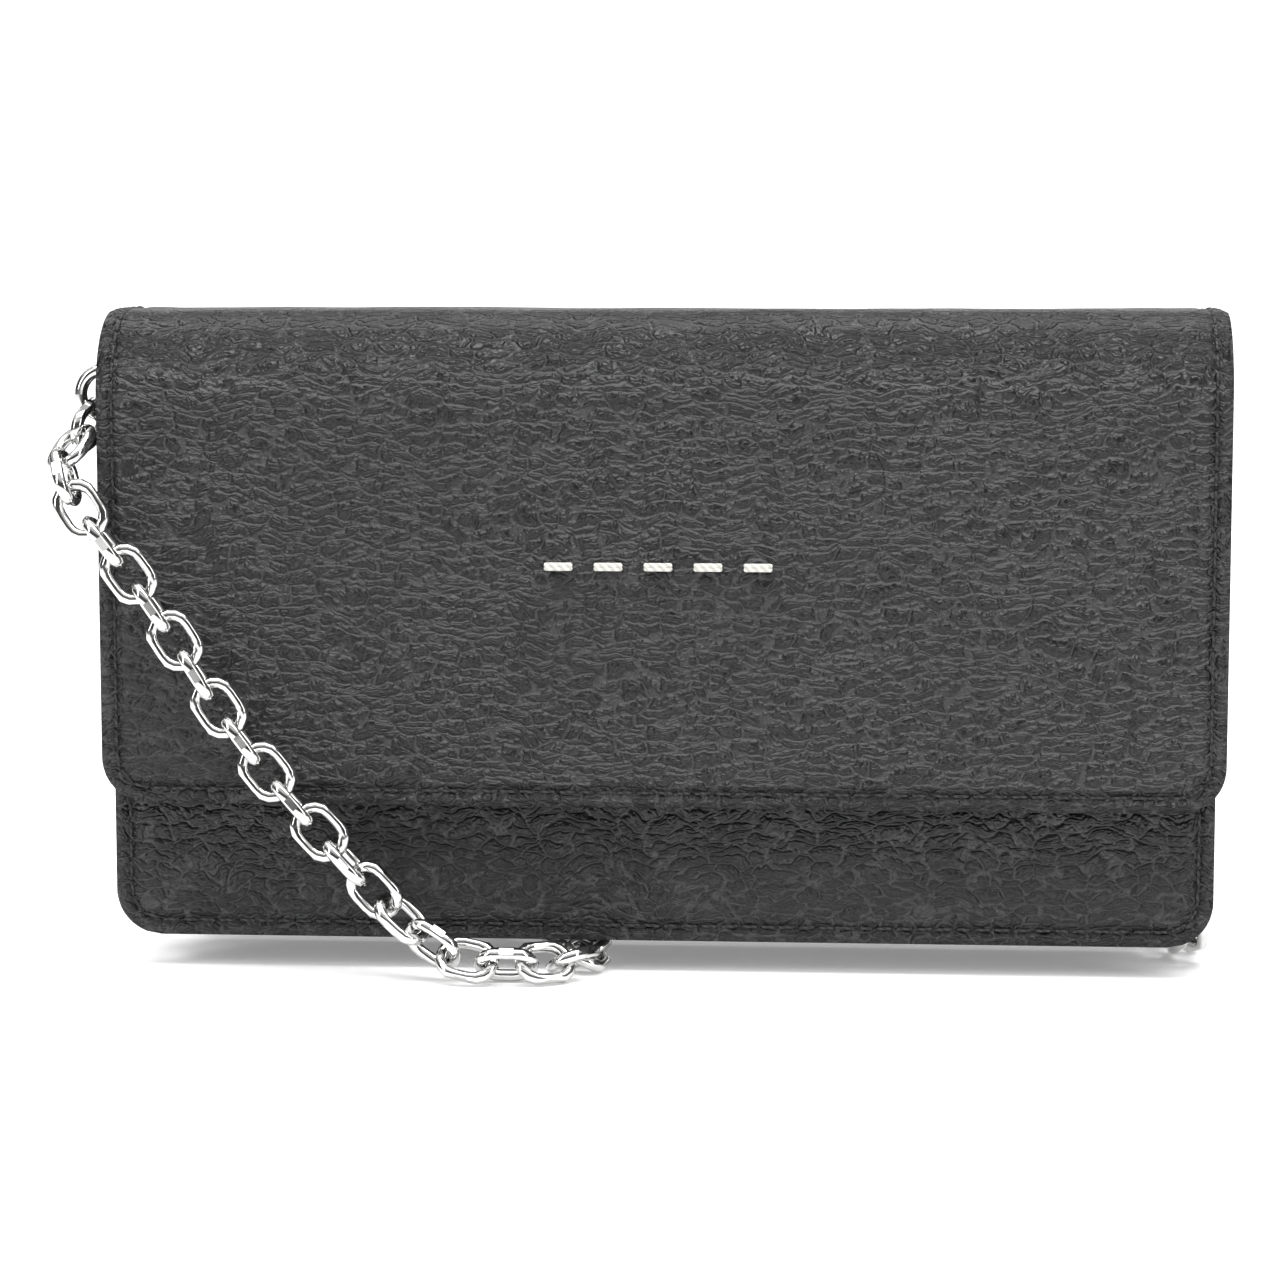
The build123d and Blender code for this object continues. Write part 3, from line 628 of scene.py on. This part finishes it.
@dataclass
class CableChain:
    """The strap: a cable chain of cut-faced links from ring to ring."""

    wire: float = 2.15
    half_long: float = 4.625
    half_wide: float = 3.425
    facet: float = 4.0
    slack: float = 2.42
    drape_links: int = 22
    pitch: float = 6.85
    laid_before: int = 3  # this many links before the one under the front edge lie on the table
    rising: int = 16  # this many links at the end leave the table
    # roll about the route in degrees, by place counted from the link under the front edge:
    # a lean that neighbours share, and a tilt that changes sign from link to link
    lean: tuple = ((-22, -71), (-21, -45), (-20, -55), (-9, -60), (-4, 0))
    tilt: tuple = ((-2, 45), (-1, 29), (5, 29), (7, 45))
    walk: list = field(default_factory=list)
    marks: list = field(default_factory=list)

    def read_route(self) -> None:
        """Lay the smooth route and read the points that the links follow."""
        curve = bpy.data.curves.new("strap_route", "CURVE")
        curve.dimensions = "3D"
        spline = curve.splines.new("NURBS")
        spline.points.add(len(ROUTE) - 1)
        for point, place in zip(spline.points, ROUTE):
            point.co = (place[0] * MM, place[1] * MM, place[2] * MM, 1.0)
        spline.order_u = 3
        spline.use_endpoint_u = True
        spline.resolution_u = 24
        guide = bpy.data.objects.new("strap_route", curve)
        bpy.context.scene.collection.objects.link(guide)
        mesh = bpy.data.meshes.new_from_object(guide)
        self.walk = [Vector(vertex.co) for vertex in mesh.vertices]
        self.marks = [0.0]
        for before, after in zip(self.walk, self.walk[1:]):
            self.marks.append(self.marks[-1] + (after - before).length)
        bpy.data.objects.remove(guide)
        bpy.data.meshes.remove(mesh)

    def spot(self, along: float) -> Vector:
        """The route's point this far along, in metres."""
        low, high = 0, len(self.marks) - 1
        while high - low > 1:
            middle = (low + high) // 2
            if self.marks[middle] <= along:
                low = middle
            else:
                high = middle
        share = (along - self.marks[low]) / max(self.marks[high] - self.marks[low], 1e-9)
        return self.walk[low].lerp(self.walk[high], min(max(share, 0.0), 1.0))

    def heading(self, along: float) -> Vector:
        """The route's direction this far along."""
        held = min(max(along, 0.0012), self.marks[-1] - 0.0012)
        return (self.spot(held + 0.0012) - self.spot(held - 0.0012)).normalized()

    def march(self, start: float, count: int, slack: float) -> list:
        """Step links along the route.

        Args:
            start: Where the first link's middle is.
            count: The steps to take.
            slack: The play between two wires, in millimetres.

        Returns:
            The stations, one more than the steps.
        """
        row = [start]
        for _ in range(count):
            step = (2 * self.half_long - slack) * MM
            for _ in range(4):
                ahead = min(row[-1] + step, self.marks[-1])
                turn = self.heading(row[-1]).angle(self.heading(ahead)) / 2
                reach = (2 * self.half_long * math.cos(turn) - slack) * MM
                step *= reach / max((self.spot(ahead) - self.spot(row[-1])).length, 0.0001)
            row.append(row[-1] + step)
        return row

    def fitted(self, start: float, end: float, count: int) -> list:
        """Step a set number of links so that they just fill a stretch.

        Args:
            start: The first link's station.
            end: The last link's station.
            count: The steps between them.

        Returns:
            The stations.
        """
        low, high = self.slack - 0.8, self.slack + 0.8
        for _ in range(18):
            middle = (low + high) / 2
            if self.march(start, count, middle)[-1] > end:
                low = middle
            else:
                high = middle
        log.info("chain stretch of %d steps, play %.2f mm", count, middle)
        return self.march(start, count, middle)

    def link(self) -> bpy.types.Mesh:
        """Spin and draw one link about the origin, its long axis along X."""
        work = bmesh.new()
        straight = self.half_long - self.half_wide
        ring = bmesh.ops.create_circle(
            work, cap_ends=False, segments=10, radius=self.wire / 2,
            matrix=Matrix.Translation((straight, self.half_wide, 0))
            @ Matrix.Rotation(math.radians(90), 4, "Y"))
        edges = list({edge for vertex in ring["verts"] for edge in vertex.link_edges})
        for centre in (straight, -straight):
            bent = bmesh.ops.spin(work, geom=edges, cent=(centre, 0, 0), axis=(0, 0, -1), dvec=(0, 0, 0),
                                  angle=math.pi, steps=8, use_merge=False)
            edges = [item for item in bent["geom_last"] if isinstance(item, bmesh.types.BMEdge)]
            drawn = bmesh.ops.extrude_edge_only(work, edges=edges)["geom"]
            ends = [item for item in drawn if isinstance(item, bmesh.types.BMVert)]
            edges = [item for item in drawn if isinstance(item, bmesh.types.BMEdge)
                     and all(vertex in ends for vertex in item.verts)]
            sign = -1 if centre > 0 else 1
            bmesh.ops.translate(work, vec=(sign * 2 * straight, 0, 0), verts=ends)
        bmesh.ops.remove_doubles(work, verts=work.verts[:], dist=0.02)
        for vertex in work.verts:
            vertex.co.y = max(-self.facet, min(self.facet, vertex.co.y))
        bmesh.ops.recalc_face_normals(work, faces=work.faces[:])
        for face in work.faces:
            face.smooth = not all(abs(abs(v.co.y) - self.facet) < 0.001 for v in face.verts)
        for edge in work.edges:
            flat = [not face.smooth for face in edge.link_faces]
            edge.smooth = not any(flat)
        bmesh.ops.scale(work, vec=(MM, MM, MM), verts=work.verts[:])
        mesh = bpy.data.meshes.new("strap_link")
        work.to_mesh(mesh)
        work.free()
        return mesh

    def normals(self, stations: list, flat: int) -> list:
        """Carry the table's upward normal past the laid links without twist.

        Args:
            stations: Every link's station.
            flat: The place of the link under the front edge.

        Returns:
            A normal for each link.
        """
        def square(along: Vector, vector: Vector) -> Vector:
            """The part of a vector square to a direction."""
            return (vector - along * vector.dot(along)).normalized()

        first, last = flat - self.laid_before, len(stations) - 1 - self.rising
        carried = {place: square(self.heading(stations[place]), Vector((0, 0, 1)))
                   for place in range(first, last + 1)}
        for place in range(last + 1, len(stations)):
            carried[place] = square(self.heading(stations[place]), carried[place - 1])
        for place in range(first - 1, -1, -1):
            carried[place] = square(self.heading(stations[place]), carried[place + 1])
        return [carried[place] for place in range(len(stations))]

    def build(self) -> bpy.types.Object:
        self.read_route()
        under = next(mark for mark, place in zip(self.marks, self.walk)
                     if place.z < 0.006 and place.y > -0.0133)
        behind = round((self.marks[-1] - under) / (self.pitch * MM))
        front_row = self.fitted(self.half_long * MM, under, self.drape_links)
        rear_row = self.fitted(under, self.marks[-1] - self.half_long * MM, behind)
        stations, flat = front_row + rear_row[1:], len(front_row) - 1
        last = len(stations) - 1 - flat
        end = 45 if last % 2 else -45
        lean = self.lean + ((last - 8, 0), (last - 1, end), (last, end))
        carried = self.normals(stations, flat)
        template = self.link()
        work = bmesh.new()
        for place, station in enumerate(stations):
            counted, along = place - flat, self.heading(station)
            turn = read_between(self.tilt, counted) * (1 if counted % 2 == 0 else -1)
            roll = read_between(lean, counted) + turn
            facing = Matrix.Rotation(math.radians(roll), 3, along) @ carried[place]
            if place == 0:
                facing = Vector((1, 0, 0))
            if place == len(stations) - 1:
                facing = Vector((0, 1, 0))
            facing = (facing - along * facing.dot(along)).normalized()
            turned = Matrix((along, facing.cross(along), facing)).transposed().to_4x4()
            before = len(work.verts)
            work.from_mesh(template)
            work.verts.ensure_lookup_table()
            bmesh.ops.transform(work, matrix=Matrix.Translation(self.spot(station)) @ turned,
                                verts=work.verts[before:])
        strap = settle("chain_strap", work, Finish.STRAP, smooth=False)
        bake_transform(strap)
        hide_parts(*[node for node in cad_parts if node.startswith("chain_")])
        log.info("chain: %d links, %.3f m", len(stations), self.marks[-1])
        return strap


# ---- leather panels ------------------------------------------------------------------------


@dataclass(frozen=True)
class Straight:
    """A flat stretch of a panel's side section."""

    start: tuple
    end: tuple

    @property
    def length(self) -> float:
        """The stretch's length."""
        return math.dist(self.start, self.end)

    def at(self, share: float) -> tuple:
        """The point and the outward direction at a share of the stretch, as (y, z) pairs."""
        y = self.start[0] + (self.end[0] - self.start[0]) * share
        z = self.start[1] + (self.end[1] - self.start[1]) * share
        along = ((self.end[0] - self.start[0]) / self.length, (self.end[1] - self.start[1]) / self.length)
        return (y, z), (-along[1], along[0])


@dataclass(frozen=True)
class Round:
    """A bent stretch of a panel's side section, turning from one angle to another."""

    centre: tuple
    radius: float
    first: float
    last: float

    @property
    def length(self) -> float:
        """The stretch's length."""
        return self.radius * math.radians(abs(self.last - self.first))

    def at(self, share: float) -> tuple:
        """The point and the outward direction at a share of the stretch, as (y, z) pairs."""
        angle = math.radians(self.first + (self.last - self.first) * share)
        facing = (math.cos(angle), math.sin(angle))
        return (self.centre[0] + self.radius * facing[0], self.centre[1] + self.radius * facing[1]), facing


@dataclass
class LeatherPanel:
    """A skin of leather over a side section, with turned corners and a sewn border."""

    name: str
    section: tuple
    wide: float
    thick: float
    low_corner: float
    far_corner: float = 2.0
    far_wide: float = 0.0
    taper: tuple = (0.0, 0.0)
    inset: float = 2.7
    pitch: float = 3.4
    edge_rows: int = 12
    middle_step: float = 2.0
    row_step: float = 1.15
    thread_radius: float = 0.33
    border: float = 7.0  # the closely divided margin at each side
    end: float = 5.0  # and at each end
    end_rows: int = 10
    groove: float = 0.55
    groove_wide: float = 0.75
    pucker: float = 0.16
    pucker_out: float = 1.3  # the puckers lie this far outside the seam
    edge_roll: float = 0.55
    slack: float = 0.30
    fine_slack: float = 0.10
    slack_from: float = 9.0
    sink: float = 0.16
    seed: int = 3

    @property
    def length(self) -> float:
        """The whole section's length."""
        return sum(part.length for part in self.section)

    def place(self, along: float) -> tuple:
        """The section's point and outward direction this far along."""
        for part in self.section:
            if along <= part.length or part is self.section[-1]:
                return part.at(min(max(along / part.length, 0.0), 1.0))
            along -= part.length
        raise ValueError("no section")

    def half(self, along: float) -> float:
        """Half the panel's width this far along, before its corners."""
        if self.far_wide and self.taper[1] > self.taper[0]:
            share = min(max((along - self.taper[0]) / (self.taper[1] - self.taper[0]), 0.0), 1.0)
            return (self.wide + (self.far_wide - self.wide) * share) / 2
        return self.wide / 2

    def reach(self, along: float) -> float:
        """Half the panel's width this far along, its corners included."""
        for corner, gap in ((self.low_corner, along), (self.far_corner, self.length - along)):
            if gap < corner:
                return self.half(along) - corner + math.sqrt(max(corner**2 - (corner - gap) ** 2, 0.0))
        return self.half(along)

    def rim(self, across: float, along: float) -> float:
        """How far a point of the panel lies from its edge."""
        side = self.half(along) - abs(across)
        for corner, gap in ((self.low_corner, along), (self.far_corner, self.length - along)):
            if gap < corner and side < corner:
                return corner - math.hypot(corner - gap, corner - side)
        return min(side, along, self.length - along)

    def relief(self, across: float, along: float) -> float:
        """How far the leather stands off its section: slack, sewn groove and puckers.

        Args:
            across: Distance from the middle.
            along: Distance along the section.

        Returns:
            The height in millimetres, outwards.
        """
        rim = self.rim(across, along)
        groove = -self.groove * math.exp(-((rim - self.inset) / self.groove_wide) ** 2)
        side = self.half(along) - abs(across)
        run = along if side < along else across
        near_seam = math.exp(-((rim - self.inset + self.pucker_out) / 1.0) ** 2)
        pucker = self.pucker * math.sin(2 * math.pi * run / self.pitch) * near_seam
        roll = -self.edge_roll * math.exp(-(max(rim, 0.0) / 0.8) ** 2)
        slack = self.slack * noise.noise(Vector((across / 26, along / 20, self.seed)))
        slack += self.fine_slack * noise.noise(Vector((across / 9, along / 5, self.seed + 7)))
        inner = min(max(rim / self.slack_from, 0.0), 1.0)
        return groove + pucker + roll + (slack - self.sink) * inner

    def surface(self, across: float, along: float, lift: float = 0.0) -> Vector:
        """A point of the finished skin, in metres."""
        (y, z), (face_y, face_z) = self.place(along)
        height = self.relief(across, along) + lift
        return Vector((across, y + face_y * height, z + face_z * height)) * MM

    def skin(self) -> bpy.types.Object:
        """Lay a grid over the section and give it its thickness."""
        half = self.wide / 2
        border = [step * self.border / self.edge_rows for step in range(self.edge_rows)]
        open_wide = self.wide - 2 * self.border
        count = round(open_wide / self.middle_step)
        middle = [self.border + step * open_wide / count for step in range(count + 1)]
        columns = [(x - half) / half for x in border + middle + [self.wide - x for x in reversed(border)]]
        rows_end = [step * self.end / self.end_rows for step in range(self.end_rows)]
        open_long = self.length - 2 * self.end
        count = round(open_long / self.row_step)
        rows_mid = [self.end + step * open_long / count for step in range(count + 1)]
        rows = rows_end + rows_mid + [self.length - y for y in reversed(rows_end)]
        work = bmesh.new()
        bmesh.ops.create_grid(work, x_segments=len(columns) - 1, y_segments=len(rows) - 1, size=0.5)
        for vertex in work.verts:
            column = round((vertex.co.x + 0.5) * (len(columns) - 1))
            row = round((vertex.co.y + 0.5) * (len(rows) - 1))
            along = rows[row]
            vertex.co = self.surface(columns[column] * self.reach(along), along)
        bmesh.ops.recalc_face_normals(work, faces=work.faces[:])
        work.faces.ensure_lookup_table()
        near = self.surface(0, 30)
        middle_face = min(work.faces, key=lambda face: (face.calc_center_median() - near).length)
        (_, _), (face_y, face_z) = self.place(30)
        if middle_face.normal.dot(Vector((0, face_y, face_z))) < 0:
            bmesh.ops.reverse_faces(work, faces=work.faces[:])
        piece = settle(self.name, work, Finish.HIDE, Finish.EDGE, Finish.LINING)
        wall = piece.modifiers.new("thickness", "SOLIDIFY")
        wall.thickness, wall.offset = (self.thick - 0.1) * MM, -1.0
        wall.material_offset_rim, wall.material_offset = 1, 2
        return piece

    def border_line(self) -> list:
        """Places of the sewn border, an even stitch apart, as (across, along) pairs."""
        r, low = max(self.low_corner - self.inset, 0.5), self.inset
        side = self.half(0) - self.inset
        top = self.length - self.inset - 1.5
        line = [(-side, top - step * 0.5) for step in range(int((top - low - r) / 0.5))]
        line += [(-side + r - r * math.cos(a), low + r - r * math.sin(a))
                 for a in (math.radians(90) * step / 16 for step in range(17))]
        line += [(-side + r + step * 0.5, low) for step in range(1, int((2 * side - 2 * r) / 0.5))]
        line += [(side - r + r * math.sin(a), low + r - r * math.cos(a))
                 for a in (math.radians(90) * step / 16 for step in range(17))]
        line += [(side, low + r + step * 0.5) for step in range(1, int((top - low - r) / 0.5))]
        spaced, gone = [line[0]], 0.0
        for before, after in zip(line, line[1:]):
            gone += math.dist(before, after)
            if gone >= self.pitch:
                spaced.append(after)
                gone -= self.pitch
        narrowed = []
        for across, along in spaced:
            limit = self.half(along) - self.inset
            narrowed.append((max(-limit, min(limit, across)), along))
        return narrowed

    def thread(self) -> bpy.types.Object:
        """Sew the border with sunk lock stitches."""
        work = bmesh.new()
        dice = random.Random(self.seed)
        line = self.border_line()
        for before, after in zip(line, line[1:]):
            first = self.surface(*before, lift=0.10)
            last = self.surface(*after, lift=0.10)
            lay_stitch(work, first.lerp(last, 0.10), first.lerp(last, 0.90), self.thread_radius,
                       dice.uniform(-4, 4))
        return settle(f"{self.name}_thread", work, Finish.BLACK_THREAD)


def lay_stitch(work: bmesh.types.BMesh, first: Vector, last: Vector, radius: float, lean: float = 0.0,
               faces: int = 6) -> None:
    """Add one stitch as a drawn-out bead.

    Args:
        work: The bmesh that takes it.
        first: Where it leaves the leather.
        last: Where it goes back in.
        radius: Its thickness, in millimetres.
        lean: How far it is turned out of line, in degrees.
        faces: The sides of its section.
    """
    reach = last - first
    turn = reach.to_track_quat("Z", "Y").to_matrix().to_4x4()
    bead = bmesh.ops.create_uvsphere(work, u_segments=faces, v_segments=5, radius=radius * MM)["verts"]
    half = max(reach.length / 2 - radius * MM, 0.0)
    for sign in (-1, 1):
        bmesh.ops.translate(work, vec=(0, 0, sign * half), verts=[v for v in bead if v.co.z * sign > 0])
    bmesh.ops.transform(work, matrix=Matrix.Translation((first + last) / 2) @ turn
                        @ Matrix.Rotation(math.radians(lean), 4, "X"), verts=bead)


@dataclass
class Shell:
    """The flap, the top bend and the back in one hide, with the front panel under it."""

    front: float = -18.0
    back: float = 18.0
    top: float = 115.6
    flap_low: float = 29.6
    shoulder: float = 15.0
    rear: float = 6.0
    back_low: float = 7.4
    panel_face: float = -14.5
    panel_low: float = 5.6
    panel_top: float = 101.6
    pale_stitches: int = 5
    pale_pitch: float = 8.6
    pale_half: float = 2.5
    pale_along: float = 42.0  # up the flap from its lower edge

    def flap(self) -> None:
        """Make the flap and back in one piece, bent at the hinge."""
        flat_top = self.back - self.rear - (self.front + self.shoulder)
        section = (
            Straight((self.front, self.flap_low), (self.front, self.top - self.shoulder)),
            Round((self.front + self.shoulder, self.top - self.shoulder), self.shoulder, 180, 90),
            Straight((self.front + self.shoulder, self.top), (self.back - self.rear, self.top)),
            Round((self.back - self.rear, self.top - self.rear), self.rear, 90, 0),
            Straight((self.back, self.top - self.rear), (self.back, self.back_low)),
        )
        bend = self.top - self.shoulder - self.flap_low + self.shoulder * math.pi / 2
        panel = LeatherPanel("flap_and_back", section, 195.0, 2.8, 8.0, 8.0, far_wide=192.0,
                             taper=(bend + flat_top - 3.0, bend + flat_top + 9.0))
        for piece in (panel.skin(), panel.thread()):
            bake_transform(piece)
            if piece.name == "flap_and_back":
                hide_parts("flap_leather", "flap_board", "flap_lining",
                            "back_leather", "back_board", "back_lining")
        self.running_stitches(panel)
        log.info("flap: section %.0f mm", panel.length)

    def running_stitches(self, panel: LeatherPanel) -> None:
        """Sew a short level row of five pale running stitches on the flap's middle."""
        work = bmesh.new()
        for step in range(self.pale_stitches):
            across = (step - 2) * self.pale_pitch
            first = panel.surface(across - self.pale_half, self.pale_along, lift=0.25)
            last = panel.surface(across + self.pale_half, self.pale_along, lift=0.25)
            for strand in (-0.3, 0.3):
                shift = Vector((0, 0, strand * MM))
                lay_stitch(work, first + shift, last + shift, 0.45, 0.0, 10)
        piece = settle("pale_running_stitches", work, Finish.WHITE_THREAD)
        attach(piece, "flap")

    def front_panel(self) -> None:
        """Make the front panel that shows under the flap."""
        section = (Straight((self.panel_face, self.panel_low), (self.panel_face, self.panel_top)),)
        panel = LeatherPanel("front_panel", section, 192.0, 2.4, 8.0, 2.0, seed=11)
        for piece in (panel.skin(), panel.thread()):
            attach(piece, "front")
            if piece.name == "front_panel":
                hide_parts("front_leather", "front_board", "front_lining")
        log.info("front panel made")

    def build(self) -> None:
        """Make every leather panel of the shell."""
        self.flap()
        self.front_panel()


@dataclass
class Gussets:
    """Four soft side folds between the panels."""

    outer: float = 95.0
    fold: float = 88.4
    low: float = 10.0
    skin: float = 0.7
    corner_rise: float = 3.5  # the outer edges start this far above the bend
    sag: float = 0.5
    steps: int = 10
    bands: int = 14

    def fold_piece(self, name: str, sign: int, front: float, back: float, top: float,
                   outer_body: str) -> None:
        """Make one fold: two sides and a rounded inner bend.

        Args:
            name: The CAD node that it stands for.
            sign: -1 for the left end, 1 for the right.
            front: The nearer wall's inner face.
            back: The farther wall's inner face.
            top: The fold's upper edge.
            outer_body: The body of the panel that fans open; not used.
        """
        work = bmesh.new()
        near, far = front + self.skin / 2 + 0.05, back - self.skin / 2 - 0.05
        radius = (far - near) / 2
        middle = (near + far) / 2
        foot = self.low + self.corner_rise
        start = [work.verts.new((sign * self.outer, near, foot)),
                 work.verts.new((sign * (self.fold + radius), near, self.low))]
        work.edges.new(start)
        bent = bmesh.ops.spin(work, geom=[start[1]], cent=(sign * (self.fold + radius), middle, self.low),
                              axis=(0, 0, -sign), dvec=(0, 0, 0), angle=math.pi, steps=self.steps,
                              use_merge=False)
        tip = [item for item in bent["geom_last"] if isinstance(item, bmesh.types.BMVert)][0]
        tail = work.verts.new((sign * self.outer, far, foot))
        work.edges.new((tip, tail))
        edges = work.edges[:]
        for _ in range(self.bands):
            drawn = bmesh.ops.extrude_edge_only(work, edges=edges)["geom"]
            ends = [item for item in drawn if isinstance(item, bmesh.types.BMVert)]
            edges = [item for item in drawn if isinstance(item, bmesh.types.BMEdge)
                     and all(vertex in ends for vertex in item.verts)]
            bmesh.ops.translate(work, vec=(0, 0, (top - foot) / self.bands), verts=ends)
        for vertex in work.verts:
            sag = self.sag * noise.noise(Vector((vertex.co.y / 5, vertex.co.z / 14, sign * 3)))
            if abs(vertex.co.x) < self.outer - 2.5:
                vertex.co.x += sign * abs(sag)
        bmesh.ops.scale(work, vec=(MM, MM, MM), verts=work.verts[:])
        bmesh.ops.recalc_face_normals(work, faces=work.faces[:])
        piece = settle(f"{name}_fold", work, Finish.GUSSET_HIDE)
        wall = piece.modifiers.new("thickness", "SOLIDIFY")
        wall.thickness, wall.offset = self.skin * MM, 0.0
        ends = (near, far) if outer_body == "back" else (far, near)
        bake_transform(piece)
        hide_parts(name)

    def build(self) -> None:
        """Make all four folds."""
        for side, sign in (("left", -1), ("right", 1)):
            for place, body in (("front", "front"), ("rear", "back")):
                node = f"gusset_{place}_{side}"
                low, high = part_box(node)
                self.fold_piece(node, sign, low[1] / MM, high[1] / MM, high[2] / MM, body)
        log.info("gussets: four")


@dataclass
class Fittings:
    """The CAD pieces that keep their own shape and get their finish here."""

    finishes: tuple = (
        ("ring_tab", Finish.GUSSET_HIDE), ("ring_", Finish.STRAP), ("zip_tape", Finish.TAPE),
        ("zip_", Finish.FITTING), ("snap_", Finish.FITTING), ("pocket_", Finish.LINING),
        ("card_slot", Finish.LINING), ("slip_pocket", Finish.LINING), ("bottom_panel", Finish.GUSSET_HIDE),
        ("gusset", Finish.GUSSET_HIDE), ("chain_", Finish.STRAP), ("flap_leather", Finish.HIDE),
        ("back_leather", Finish.HIDE), ("front_leather", Finish.HIDE), ("flap_lining", Finish.LINING),
        ("back_lining", Finish.LINING), ("front_lining", Finish.LINING), ("", Finish.BOARD),
    )

    def build(self) -> None:
        """Dress each CAD node by the first start of its name that fits."""
        for name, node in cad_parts.items():
            finish = next(finish for start, finish in self.finishes if name.startswith(start))
            if not node.material_slots:
                node.data.materials.append(paint(finish))
            for slot in node.material_slots:
                slot.material = paint(finish)
        log.info("fittings: %d nodes dressed", len(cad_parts))


def main() -> None:
    """Build the studio, the strap, the leather and the fittings, in that order."""
    for builder in (Studio(), CableChain(), Shell(), Gussets(), Fittings()):
        builder.build()


if __name__ == "__main__":
    main()
